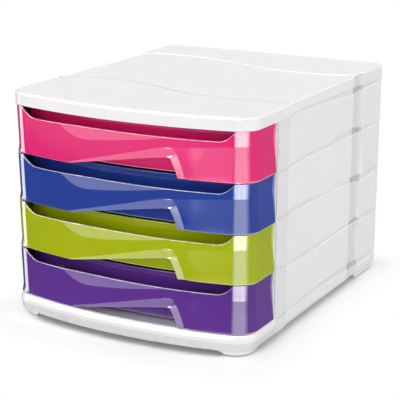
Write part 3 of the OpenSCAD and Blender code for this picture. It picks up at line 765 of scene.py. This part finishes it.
def base_outer(z, inset):
    """Line round the outside: the front rolls in at the top, the sides keep their relief."""
    skirt_in = clamp01((skirt_z + 3 - z) / 3) * 1.6
    top_in = max(0, inset - 4.4) if z > base_h - 2 else 0

    def side_z(y):
        """Rows bend along the sides, so that one of them follows the swoosh."""
        low = mix(SWOOSH_ROW, swoosh_edges(TIERS, y)[0], ease((y - cheek_y) / 10))
        if z < SWOOSH_ROW:
            return mix(skirt_z, low, (z - skirt_z) / (SWOOSH_ROW - skirt_z))
        return mix(low, base_h, (z - SWOOSH_ROW) / (base_h - SWOOSH_ROW))

    def side_x(y):
        relief = relief_d * clamp01((z - SWOOSH_ROW) / RELIEF_RUN) * ease((y - cheek_y) / 2)
        front = ease((cheek_y + 8 - y) / 8)
        return half_w - side_inset(y) - mix(skirt_in + relief + top_in, inset, front)

    return base_ring(z, inset, side_x, half_w - collar_in - skirt_in, y_back - skirt_in,
                     rear_r - skirt_in, side_z)


def base_slot(a, z):
    """Tone of the base at a point of its outline and a height on its front: painted shade on the recessed
    sides like the tiers above, and on the lower part of the front.
    """
    x, y = abs(a[0]), a[1]
    if x > inner_x and cheek_y < y < y_back - rear_r:
        return relief_painted_shade_slot(y, 1 if z > SWOOSH_ROW else 0)
    return BAND_SHADE if y < cheek_y and z < base_h - 10.5 else PLAIN


def base_inner(z, grow=0.0):
    """Line round the hollow underside."""
    run = y_back - wall - corner_cy

    def side_x(y):
        return mix(half_w - wall - 2.4, inner_x, (y - corner_cy) / run) + grow

    return base_ring(z, wall + 2.4 - grow, side_x, inner_x + grow, y_back - wall + grow, 1)


def base_profile():
    """BASE_LINE as (z, inset), with two more rows where the swooshes of the sides begin."""
    profile = [(p.x, p.y) for p in BASE_LINE]
    k = next(i for i, (z, inset) in enumerate(profile) if z > SWOOSH_ROW)
    (z0, inset0), (z1, inset1) = profile[k - 1:k + 1]
    inset = mix(inset0, inset1, (SWOOSH_ROW - z0) / (z1 - z0))
    return profile[:k] + [(SWOOSH_ROW, inset), (SWOOSH_ROW + RELIEF_RUN, inset)] + profile[k:]


def base():
    """Bowed moulding under the tiers, hollow and ribbed below, with a foot under each corner."""
    skin = Skin()
    profile = base_profile()
    inner = [base_inner(UNDERSIDE), base_inner(skirt_z + 0.4), base_inner(skirt_z, 0.4)]
    skin.lines([ring[::-1] for ring in inner + [base_outer(*profile[0])]], closed=True)
    outer = [base_outer(z, inset)[::-1] for z, inset in profile]
    for k, (low, high) in enumerate(zip(outer, outer[1:])):
        middle = (profile[k][0] + profile[k + 1][0]) / 2
        slots = [base_slot(point, middle) for point in low]
        skin.strip(low, high, True, slots.__getitem__)
    skin.face([(x, y, BASE_LINE[-1].x) for x, y, z in outer[-1]])
    skin.face(inner[0])
    skin.build("base_shell", casing_set, "casing", "base", "casing")

    ribs = Skin()
    rib_zs = (skirt_z + 4, UNDERSIDE + 0.5)
    for x in rib_xs:
        ribs.box((x - rib_t / 2, x + rib_t / 2), (corner_cy, y_back - wall + 0.5), rib_zs)
    for y in (cheek_y, (cheek_y + band_y0) / 2, band_y0):
        ribs.box((-inner_x - 0.5, inner_x + 0.5), (y, y + rib_t), rib_zs)
    ribs.build("base_ribs", casing_set, "casing", None, "casing", bevel=0.3)

    feet = Skin()
    for rings in (front_foot_rings(UNDERSIDE), rear_foot_rings(UNDERSIDE)):
        feet.tube(rings)
        feet.tube([[(-x, y, z) for x, y, z in ring[::-1]] for ring in rings])
    feet.build("base_feet", casing_set, "casing", None, "casing", bevel=0.7)


def front_foot_rings(top):
    """Foot under the front right corner, tapered towards the floor, from its top down."""
    rings = []
    for z, inset, end in ((top, foot_inset, 0), (skirt_z, foot_inset, 0),
                          (pad_out, foot_inset + 0.85 * foot_taper, foot_bevel)):
        r, x_in, y_end = corner_r - inset, foot_x - foot_bevel + end, corner_cy + 10 - end
        reach = bow_r - inset
        bow = [(x, bow_cy - math.sqrt(reach * reach - x * x)) for x in steps(x_in, 118, 2)]
        corner = [(corner_cx + r * math.sin(a), corner_cy - r * math.cos(a))
                  for a in steps(turn, math.pi / 2, 10, True)]
        ring = bow + corner + [(half_w - inset, y_end), (x_in, y_end)]
        rings.append([(x, y, z) for x, y in ring])
    return list(reversed(rings))


def rear_foot_rings(top):
    """Foot under the rear right corner, from its top down."""
    rings = []
    for z, end in ((top, 0), (skirt_z, 0), (pad_out, foot_bevel)):
        x_in, y_start = foot_x - foot_bevel + end, band_y1 + 3 + end
        x_out, r = half_w - collar_in - foot_inset, rear_r - foot_inset
        corner = [(x_out - r + r * math.cos(a), y_back - foot_inset - r + r * math.sin(a))
                  for a in steps(0, math.pi / 2, 5, True)]
        ring = [(x_in, y_start), (x_out, y_start)] + corner + [(x_in, y_back - foot_inset)]
        rings.append([(x, y, z) for x, y in ring])
    return list(reversed(rings))


def foot_pad(name):
    """Round rubber pad under a foot."""
    low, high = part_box(name)
    middle = (low + high) / 2 / MM
    skin = Skin()
    profile = rounded([(0, 0, 0), (pad_d / 2 - 1.2, 0, 0.8), (pad_d / 2 - 0.1, 1.0, 0.5),
                       (pad_d / 2, pad_top, 0), (0, pad_top, 0)])
    skin.tube([[(middle.x + max(p.x, 0.01) * math.cos(a), middle.y + max(p.x, 0.01) * math.sin(a), p.y)
                for a in steps(0, math.tau, 48)] for p in profile])
    skin.build(name + "_rubber", [rubber], "casing", name, "foot_rubber")


# ---------- trays ----------

CROWN_Z = 34  # height at which the front wall's crown begins
RIM_Z = tray_top - tray_wall / 2  # foot of the round along a tray's rim


def tray_plan(half, inset):
    """Closed plan of a tray wall, anticlockwise from the rear right corner's far end."""
    front = bow_curve(half - inset, y_front + tray_in + inset, bow_r - tray_in - inset,
                      max(1.2, 9 - inset), 80, 8)
    r = max(1, 5 - inset)
    cx, cy = half - inset - r, tray_back - inset - r
    right = [(cx + r * math.sin(a), cy + r * math.cos(a)) for a in steps(0, math.pi / 2, 6, True)]
    left = [(-x, y) for x, y in reversed(right)]
    return list(reversed(right + front + left))


def crown(x, y):
    """How far the middle of the front wall rises above the other walls."""
    return (crown_top - tray_top) * ease((crown_x + crown_run - abs(x)) / crown_run) * (y < 0)


def tray_profile():
    """Section of a tray from under its floor, over the rim, to the top of the floor.

    As (half width, inset, height): under the step that rides on the ledges the tray is narrower.
    """
    low, high, w, floor, step = tray_low_half, tray_half, tray_wall, tray_floor, tray_step
    outside = [
        (low, 1.2, floor), (low, 0.35, floor + 0.35), (low, 0, floor + 1.2), (low, 0, step - 0.6),
        (low + 0.2, 0, step - 0.15), (low + 0.6, 0, step), (high - 0.8, 0, step),
        (high - 0.25, 0, step + 0.25), (high, 0, step + 0.8), (high, 0, 20), (high, 0, CROWN_Z),
        (high, 0, RIM_Z)]
    rim = [(high, w / 2 * (1 - math.cos(a)), RIM_Z + w / 2 * math.sin(a))
           for a in steps(0, math.pi, 8, True)][1:]
    inside = [
        (high, w, CROWN_Z), (high, w, 20), (high, w, step + w + 1.2), (high, w + 0.35, step + w + 0.35),
        (high, w + 1.2, step + w), (low, w - 0.8, step + w), (low, w - 0.2, step + w - 0.2),
        (low, w, step + w - 0.8), (low, w, floor + w + 2), (low, w + 0.6, floor + w + 0.6),
        (low, w + 2, floor + w)]
    return outside + rim + inside


def tray(level):
    """Flat box that slides on the ledges; its front wall rises in the middle."""
    z = tier_z(level)
    rings = []
    for half, inset, height in tray_profile():
        share = clamp01((height - CROWN_Z) / (RIM_Z - CROWN_Z))
        rings.append([(x, y, z + height + share * crown(x, y)) for x, y in tray_plan(half, inset)])
    skin = Skin()
    skin.face(rings[0][::-1])
    # the round under the tray's floor gets the paler painted highlight
    skin.lines(rings, closed=True, slot=lambda k, i: EDGE_HIGHLIGHT if k < 2 else FACE)
    skin.face(rings[-1])
    body, tones, slot_name = f"drawer_{level}", drawer_sets[level - 1], drawer_slots[level - 1]
    skin.build(f"tray_shell_{level}", tones, body, f"tray_{level}", slot_name)
    nubs = Skin()
    for side in (1, -1):
        nubs.box((side * (tray_half - OVER), side * (tray_half + nub_out)), (nub_y, nub_y + nub_t),
                 (z + tray_top - 8, z + tray_top - 2))
    nubs.build(f"tray_nubs_{level}", tones[:1], body, None, slot_name, bevel=0.5)


# ---------- drawer fronts ----------

# Lengths along a front are measured on its bow, from the middle to the right
edge_gap = 0.4
RIM = 0.55  # how far the round of a front's edges stands out past its faces
EDGE_LOW = edge_gap + RIM
BEAD = 0.9  # height of the small bead along the lower edge
# dip of the upper edge
dip = 11.3
dip_end = 127
dip_run = 19
# finger arch, and the lip along it
arch_x0 = -61
arch_x1 = 54
arch_h = 20.3
lip = flare + 0.2
LIP_SLOPE = 0.24
# crease over the arch, up to the crest, down to a saddle beside the arch and slowly up again
crease_h = 32.2
crease_end = 36.1
CREST = 48
SADDLE = (61.5, 30.5)
ZONE_SLOPE = 0.035  # steepest slope between lip and crease
ZONE_CURVE = 1.0
CORNER_LEAN = 0.033  # how much the fronts lean out over the crease at their corners
# hollow under the upper edge
hollow_x0 = -72
hollow_x1 = -40
hollow_x2 = 58
hollow_h = 11.6
HOLLOW_SLOPE = 0.19
turn_x = bow_r * math.sin(turn)
flare_u = turn_x - 7
corner_len = corner_r * (math.pi / 2 - turn)
u_end = turn_x + corner_len + (cheek_y - part_gap) - corner_cy


def place(u, z, depth):
    """Point at u along the developed front and at a height, depth inside the visor's outline."""
    side, run = (1 if u >= 0 else -1), abs(u)
    if run <= turn_x:
        s = u / bow_r
        r = bow_r - depth
        return (s * r, bow_cy - math.sqrt(1 - s * s) * r, z)
    if run <= turn_x + corner_len:
        a = turn + (run - turn_x) / corner_r
        r = corner_r - depth
        return (side * (corner_cx + math.sin(a) * r), corner_cy - math.cos(a) * r, z)
    return (side * (half_w - depth), corner_cy + run - turn_x - corner_len, z)


def edge_high(u):
    t = clamp01((dip_end - abs(u)) / dip_run)
    return tier_h - edge_gap - RIM - dip * (1 - (1 - t) ** 2.2)


def rising(u):
    return clamp01((u - arch_x0) / (arch_x1 - arch_x0))


def arch_low(u):
    """Lower edge, left of the arch's steep end."""
    t = rising(u)
    return EDGE_LOW + arch_h * (t + 1 - (1 - t) ** 1.25) / 2


def crease(u):
    """Line where the zone over the arch and in the right part of the front ends."""
    if u <= arch_x0:
        return EDGE_LOW + 1.2 + 9 * ease((-flare_u - u) / 40)
    if u <= CREST:
        return mix(EDGE_LOW + 1.2, crease_h, rising(u))
    if u <= SADDLE[0]:
        return mix(crease(CREST), SADDLE[1], ease((u - CREST) / (SADDLE[0] - CREST)))
    return mix(SADDLE[1], crease_end, clamp01((u - SADDLE[0]) / (dip_end - SADDLE[0])))


def hollow_low(u):
    top = edge_high(u)
    if u <= hollow_x0 or u >= hollow_x2:
        return top
    if u < hollow_x1:
        return top - hollow_h * (1 - ((hollow_x1 - u) / (hollow_x1 - hollow_x0)) ** 2.15)
    return top - hollow_h * (1 - ((u - hollow_x1) / (hollow_x2 - hollow_x1)) ** 1.25)


# Steep end of the arch: a band that stands proud of the lip. Corners as (u, z)
BAND_TIP = (51, arch_low(51) + 8.3)
BAND_ROOT = (57.4, 21.6)
BAND_TOP = (62, 30.2)
BAND_FOOT = 76
STEEP_EDGE = rounded([BAND_ROOT + (0,), (60.6, 21.9, 4.2), (66.2, 10.0, 30), (69.4, EDGE_LOW, 0)], 8)
TIP_OUT = 1.6  # how far the band stands out at its tip
BAND_CURVE = 2.4  # how round the band's right edge is
BAND_SLOPE = 0.026  # how much further out that edge stands for each millimetre down
LIP_TS = (0, 0.2, 0.4, 0.6, 0.8, 0.94, 1)
BAND_TS = (0, 0.06, 0.35, 0.65, 0.94, 1)


def lip_run(u):
    """Width of the lip along the rising part of the arch."""
    return min(8.4 * rising(u) ** 0.36, 0.88 * (crease(u) - arch_low(u)))


def lip_foot(u):
    """How far the face stands out along the outer line of the lip."""
    grow = ease((u - arch_x0) / 12)
    return min(0.7 * grow, ZONE_SLOPE * (crease(u) - arch_low(u) - lip_run(u)))


def resampled(line, n):
    """n + 1 points at even distances along a line."""
    lengths = [0]
    for a, b in zip(line, line[1:]):
        lengths.append(lengths[-1] + (b - a).length)
    out, i = [], 0
    for d in steps(0, lengths[-1], n, True):
        while i < len(line) - 2 and lengths[i + 1] < d:
            i += 1
        share = (d - lengths[i]) / max(1e-9, lengths[i + 1] - lengths[i])
        out.append(line[i].lerp(line[i + 1], min(1.0, share)))
    return out


def lip_columns():
    """The lip along the rising part of the arch, as columns of (u, z, out) from its edge up."""
    columns = []
    for u in steps(arch_x0, 25, 30) + steps(25, BAND_ROOT[0], 14, True):
        side_u = u - (BAND_ROOT[0] - BAND_TIP[0]) * ease((u - 25) / (BAND_ROOT[0] - 25))
        side = (side_u, arch_low(side_u) + lip_run(side_u))
        low = (u, min(arch_low(u), BAND_ROOT[1]))
        if u == BAND_ROOT[0]:
            low, side = BAND_ROOT, BAND_TIP
        out_side = lip_foot(side_u)
        out_low = min(lip, out_side + LIP_SLOPE * math.dist(low, side))
        columns.append([(mix(low[0], side[0], t), mix(low[1], side[1], t), mix(out_low, out_side, t))
                        for t in LIP_TS])
    return columns


def band_rows(root_out):
    """The proud band round the steep end: rows of (u, z, out) from its left edge to its right."""
    left = [(mix(BAND_ROOT[0], BAND_TIP[0], t), mix(BAND_ROOT[1], BAND_TIP[1], t),
             mix(root_out, TIP_OUT, t)) for t in reversed(LIP_TS)]
    left += [(p.x, p.y, root_out) for p in resampled(STEEP_EDGE, 20)[1:]]
    n = len(left) - 1
    right = []
    for i in range(n + 1):
        z = mix(BAND_TOP[1], EDGE_LOW, (i / n) ** 1.15)
        height = (z - EDGE_LOW) / crease_h
        u = arch_x1 + (BAND_FOOT - arch_x1) * (1 - height) ** (1 / BAND_CURVE)
        right.append((u, z, 0.1 + BAND_SLOPE * (BAND_TOP[1] - z)))
    rows = []
    for a, b in zip(left, right):
        rows.append([tuple(mix(p, q, t) for p, q in zip(a, b)) for t in BAND_TS])
    return rows


def upper_column(side, fold_u, curve, bead_out=0.0):
    """Points (u, z, out) from the line where the lip or the edge ends up to the upper edge."""
    u, z, out_side = side
    fold = (fold_u, crease(fold_u))
    hollow = (fold_u, max(hollow_low(fold_u), fold[1] + 0.5))
    high = (fold_u, edge_high(fold_u))
    bead = min(BEAD / math.dist(side[:2], fold), 0.2)
    rows = [(u, z, out_side + bead_out)]
    zone = [(t, out_side * (1 - t ** curve)) for t in (bead, 0.25, 0.4, 0.55, 0.7, 0.85, 0.96)]
    zone.append((1, zone[-1][1] * 0.3))
    rows += [(mix(u, fold[0], t), mix(z, fold[1], t), out) for t, out in zone]
    depth = HOLLOW_SLOPE * (high[1] - hollow[1])
    lean = CORNER_LEAN * ease((abs(fold_u) - turn_x + 6) / 6)
    top = [(mix(fold[1], hollow[1], t), 0) for t in (0.04, 0.25, 0.5, 0.75, 0.96)]
    top.append((hollow[1], -depth * 0.015))
    top += [(mix(hollow[1], high[1], t), -depth * t) for t in (0.06, 0.3, 0.55, 0.8, 1)]
    rows += [(fold[0], z, out + lean * (z - fold[1])) for z, out in top]
    return rows


def plain_column(u):
    """Column from the lower edge up, where there is no arch."""
    if u <= arch_x0:
        out, curve = 1.1 * ease((abs(u) - flare_u) / 30), 1.2
    else:
        share = (u - BAND_FOOT) / 25
        out, curve = mix(0.86, flare, ease((u - BAND_FOOT) / 11)), mix(1.6, ZONE_CURVE, ease(share))
    return upper_column((u, EDGE_LOW, out), u, curve, 0.28 * clamp01(out) * (u != BAND_FOOT))


def front_patches():
    """Grids of (u, z, out) that make up the face of a front, and its edge as one loop."""
    lip_grid = lip_columns()
    band = band_rows(lip_grid[-1][0][2])
    left = []
    for a, b, n in ((-u_end, -turn_x - corner_len, 5), (-turn_x - corner_len, -turn_x, 24),
                    (-turn_x, dip_run - dip_end, 14), (dip_run - dip_end, hollow_x0, 8),
                    (hollow_x0, arch_x0, 8)):
        left += [plain_column(u) for u in steps(a, b, n)]
    over_lip = [upper_column(column[-1], column[-1][0], 1) for column in lip_grid]
    over_tip = [upper_column((u, z, mix(lip_grid[-1][-1][2], out, ease(i / (len(BAND_TS) - 1)))), u, 1)
                for i, (u, z, out) in enumerate(band[0])][1:]
    beside = []
    n = len(band) - 1
    for i, row in enumerate(band[1:], 1):
        fold_u = mix(BAND_TOP[0], BAND_FOOT + 3, (i / n) ** 0.8)
        beside.append(upper_column(row[-1], fold_u, mix(1, 1.6, i / n)))
    right = []
    for a, b, n in ((BAND_FOOT, dip_end - dip_run, 16), (dip_end - dip_run, turn_x, 14),
                    (turn_x, turn_x + corner_len, 24), (turn_x + corner_len, u_end, 5)):
        right += [plain_column(u) for u in steps(a, b, n)][(1 if a == BAND_FOOT else 0):]
    right.append(plain_column(u_end))
    upper = left + over_lip + over_tip + beside + right

    def polish(k, i):
        return POLISHED if min(abs(upper[k][-1][0]), abs(upper[k + 1][-1][0])) > turn_x - 0.01 else FACE

    tip = len(LIP_TS) - 1
    riser = [lip_grid[-1], [band[tip - k][0] for k in range(tip + 1)]]
    ledge = [[node, column[0]] for node, column in zip(band[0], [over_lip[-1]] + over_tip)]
    across = [[row[k] for row in reversed(band)] for k in range(len(BAND_TS))]

    loop = [column[0] for column in left + lip_grid]
    loop += [row[0] for row in band[tip + 1:]] + band[-1][1:]
    loop += [column[0] for column in right] + upper[-1][1:]
    loop += [column[-1] for column in reversed(upper[:-1])] + list(reversed(upper[0][1:-1]))
    steep = len(band) - 1 - tip

    def band_polish(k, i):
        return POLISHED if i < steep else FACE

    return [(lip_grid, FACE), (upper, polish), (riser, FACE), (ledge, FACE), (across, band_polish)], loop


def front_edge(skin, loop, face_point):
    """Half-round edge along a closed loop of (u, z, out), anticlockwise seen from the front, in the paler
    painted-highlight material.
    """
    kept = []
    for node in loop:
        if not kept or math.dist(node[:2], kept[-1][:2]) > 1e-3:
            kept.append(node)
    n, arcs = len(kept), 8
    rims = [[] for _ in range(arcs + 1)]
    for j, node in enumerate(kept):
        before = (Vector(node[:2]) - Vector(kept[j - 1][:2])).normalized()
        after = (Vector(kept[(j + 1) % n][:2]) - Vector(node[:2])).normalized()
        way = before + after
        way = way.normalized() if way.length > 1e-6 else after
        for m in range(arcs + 1):
            phi = math.pi * m / arcs
            bulge = RIM * math.sin(phi)
            rims[m].append(face_point((node[0] + way.y * bulge, node[1] - way.x * bulge, node[2]),
                                      front_wall * (1 - math.cos(phi)) / 2))
    skin.lines(rims[::-1], closed=True, slot=EDGE_HIGHLIGHT)


def peg_rings(x, z):
    """Peg from the inside of a front, with a collar against the tray's wall and a thin end in its hole."""
    root = bow_cy - math.sqrt((bow_r - front_in - front_wall) ** 2 - x * x) - 0.8
    seat = bow_cy - math.sqrt((bow_r - tray_in) ** 2 - (peg_x - 6) ** 2) - 0.3
    tip = bow_cy - math.sqrt((bow_r - tray_in - tray_wall) ** 2 - (peg_x - 3) ** 2) + 1.5
    profile = [(6.4, root), (5.4, root + 1.0), (5.0, root + 2.4), (5.0, seat - 0.4), (4.6, seat),
               (3, seat), (3, tip - 0.6), (2.4, tip)]
    return [[(x + r * math.cos(a), y, z - r * math.sin(a)) for a in steps(0, math.tau, 32)][::-1]
            for r, y in profile]


def front_shell(level):
    """Front of a drawer: its face, the inside a wall's thickness behind it, its edge and its pegs."""
    patches, loop = front_patches()
    z = tier_z(level)
    skin = Skin()

    def face_point(node, inward=0.0):
        u, height, out = node
        return place(u, z + height, front_in - out + inward)

    for grid, slot in patches:
        skin.lines([[face_point(node) for node in column] for column in grid], slot=slot)
        skin.lines([[face_point(node, front_wall) for node in column[::-1]] for column in grid])
    front_edge(skin, loop, face_point)
    for x in (-peg_x, peg_x):
        for height in peg_zs:
            skin.tube(peg_rings(x, z + height))
    skin.build(f"front_shell_{level}", drawer_sets[level - 1], f"drawer_{level}",
               f"drawer_front_{level}", drawer_slots[level - 1])


# ---------- the object ----------

visor()
cover()
base()
for number in range(1, TIERS + 1):
    tier(number)
    tray(number)
    front_shell(number)
for name in frame["nodes"]:
    if name.startswith("foot_pad"):
        foot_pad(name)


# ---------- floor, light and camera ----------

def stage_floor():
    """White paper: lit and shadowed near the object, plain white further off."""
    size = 6.0
    mesh = bpy.data.meshes.new("floor")
    mesh.from_pydata([(-size, -size, 0), (size, -size, 0), (size, size, 0), (-size, size, 0)], [],
                     [(0, 1, 2, 3)])
    floor = bpy.data.objects.new("floor", mesh)
    scene.collection.objects.link(floor)
    material = bpy.data.materials.new("floor_paper")
    material.use_nodes = True
    tree = material.node_tree
    shader = tune(tree.nodes["Principled BSDF"], {
        "Base Color": (0.9, 0.9, 0.9, 1), "Roughness": 0.8, "Specular IOR Level": 0.2})
    white = node_at(tree, "ShaderNodeEmission", Strength=1.0)
    camera_ray = tree.nodes.new("ShaderNodeLightPath").outputs["Is Camera Ray"]
    # distance from the footprint of the casing
    spot = tree.nodes.new("ShaderNodeTexCoord").outputs["Object"]
    for operation in ("ABSOLUTE", "SUBTRACT", "MAXIMUM", "LENGTH"):
        node = link(tree, spot, node_at(tree, "ShaderNodeVectorMath", operation=operation))
        if operation == "SUBTRACT":
            node.inputs[1].default_value = (half_w * MM, y_back * MM, 0)
        spot = node.outputs["Value" if operation == "LENGTH" else "Vector"]
    away = remap(tree, spot, 0, 1, -0.01, 0.055, smooth=True)
    blend = link(tree, math_at(tree, "MULTIPLY", away, camera_ray), tree.nodes.new("ShaderNodeMixShader"))
    link(tree, shader.outputs[0], blend, 1)
    link(tree, white.outputs[0], blend, 2)
    link(tree, blend.outputs[0], tree.nodes["Material Output"], "Surface")
    mesh.materials.append(material)
    floor.visible_glossy = False


def toward(azimuth, elevation):
    """Direction from the object; azimuth 0 is in front of it and 90 to its right, in degrees."""
    a, e = math.radians(azimuth), math.radians(elevation)
    return Vector((math.sin(a) * math.cos(e), -math.cos(a) * math.cos(e), math.sin(e)))


def softbox(name, azimuth, elevation, distance, wide, high, radiance, gloss=False, height=0.12):
    """Area light that looks at the object and covers wide by high degrees of its surroundings.

    With gloss it only shows in reflections, and otherwise it doesn't show in them.
    """
    back = toward(azimuth, elevation)
    light = bpy.data.lights.new(name, "AREA")
    light.shape = "RECTANGLE"
    width, tall = (2 * distance * math.tan(math.radians(angle / 2)) for angle in (wide, high))
    light.size, light.size_y = width, tall
    light.energy = radiance * math.pi * width * tall
    lamp = bpy.data.objects.new(name, light)
    lamp.location = Vector((0, 0, height)) + back * distance
    lamp.rotation_euler = back.to_track_quat("Z", "Y").to_euler()
    lamp.visible_diffuse = not gloss
    lamp.visible_glossy = gloss
    scene.collection.objects.link(lamp)
    return lamp


def camera():
    """The photograph's view: its side, height, tilt and distance were fitted to it."""
    azimuth, elevation, tilt = 28.30, 15.62, math.radians(0.36)
    distance, focal_px, frame_px = 1.525, 1335, 400
    target = Vector((-0.0027, 0, 0.1086))
    back = toward(azimuth, elevation)
    data = bpy.data.cameras.new("camera")
    data.sensor_width = 36
    data.lens = data.sensor_width * focal_px / frame_px
    data.clip_start, data.clip_end = 0.05, 50
    cam = bpy.data.objects.new("camera", data)
    level = (-back).cross(Vector((0, 0, 1))).normalized()
    upright = level.cross(-back)
    right = level * math.cos(tilt) + upright * math.sin(tilt)
    up = upright * math.cos(tilt) - level * math.sin(tilt)
    spot = target + back * distance
    cam.matrix_world = Matrix([[right[i], up[i], back[i], spot[i]] for i in range(3)] + [[0, 0, 0, 1]])
    scene.collection.objects.link(cam)
    scene.camera = cam


def world(fill, low_gloss):
    """White to the camera and in reflections above the floor; fill is how much light it gives."""
    sky = bpy.data.worlds.new("studio")
    sky.use_nodes = True
    tree = sky.node_tree
    back = tune(tree.nodes["Background"], {"Color": (1, 1, 1, 1)})
    path = tree.nodes.new("ShaderNodeLightPath")
    coords = tree.nodes.new("ShaderNodeTexCoord")
    parts = link(tree, coords.outputs["Generated"], tree.nodes.new("ShaderNodeSeparateXYZ"))
    height = remap(tree, parts.outputs["Z"], low_gloss, 1, -0.06, 0.02)
    seen = math_at(tree, "MAXIMUM", path.outputs["Is Glossy Ray"], path.outputs["Is Transmission Ray"])
    gloss = node_at(tree, "ShaderNodeMix", data_type="FLOAT", A=fill)
    link(tree, seen, gloss, "Factor")
    link(tree, height, gloss, "B")
    strength = math_at(tree, "MAXIMUM", gloss.outputs[0], path.outputs["Is Camera Ray"])
    link(tree, strength, back, "Strength")
    scene.world = sky


def window():
    """Tall window to the right, bright below and paler above, with soft sides.

    It is flagged off the casing, and shows in the drawers only.
    """
    drawers = bpy.data.collections.new("glossy_pieces")
    for piece in scene.objects:
        if piece.name.startswith(("front_shell", "tray")):
            drawers.objects.link(piece)
    panes = ((4, 8, 0.3), (8, 13, 0.65), (13, 33, 1), (33, 53, 1),
             (53, 68, 1), (68, 76, 0.6), (76, 84, 0.25))
    for start, end, share in panes:
        for kind, elevation, high, radiance in (("strip", -19.5, 9, 3.7), ("glow", 0, 30, 1.3)):
            lamp = softbox(f"{kind}_{start}", (start + end) / 2, elevation, 16, end - start, high,
                           radiance * share, True, 0.14)
            lamp.light_linking.receiver_collection = drawers


stage_floor()
world(0.6, 0.12)
# name, azimuth, elevation, distance, wide, high, radiance
softbox("front_light", 8, 14, 4, 60, 36, 1.08)
softbox("side_light", 100, 22, 3, 50, 40, 1.58)
softbox("top_light", 20, 78, 1.8, 50, 50, 0.8)
softbox("front_box", -29.5, 12, 4, 65, 33, 2.4, True)
softbox("front_glow", -29.5, -8, 4.05, 65, 9, 0.8, True)
softbox("low_glow", -29.5, -5.5, 4.1, 65, 5, 1.0, True)
softbox("top_glow", 20, 78, 1.8, 50, 50, 1.2, True)
softbox("side_glow", 105, 25, 2.6, 50, 40, 1.2, True)
softbox("rim_light", -10, 52, 3, 90, 50, 20, True, 0.14)
softbox("left_fill", -115, 20, 3, 50, 40, 0.7)
softbox("left_strip", -77, -14, 4, 30, 26, 1.4, True, 0.14)
softbox("left_core", -77, -14, 4.05, 24, 26, 1.4, True, 0.14)
window()
camera()
scene.view_settings.view_transform = "Standard"
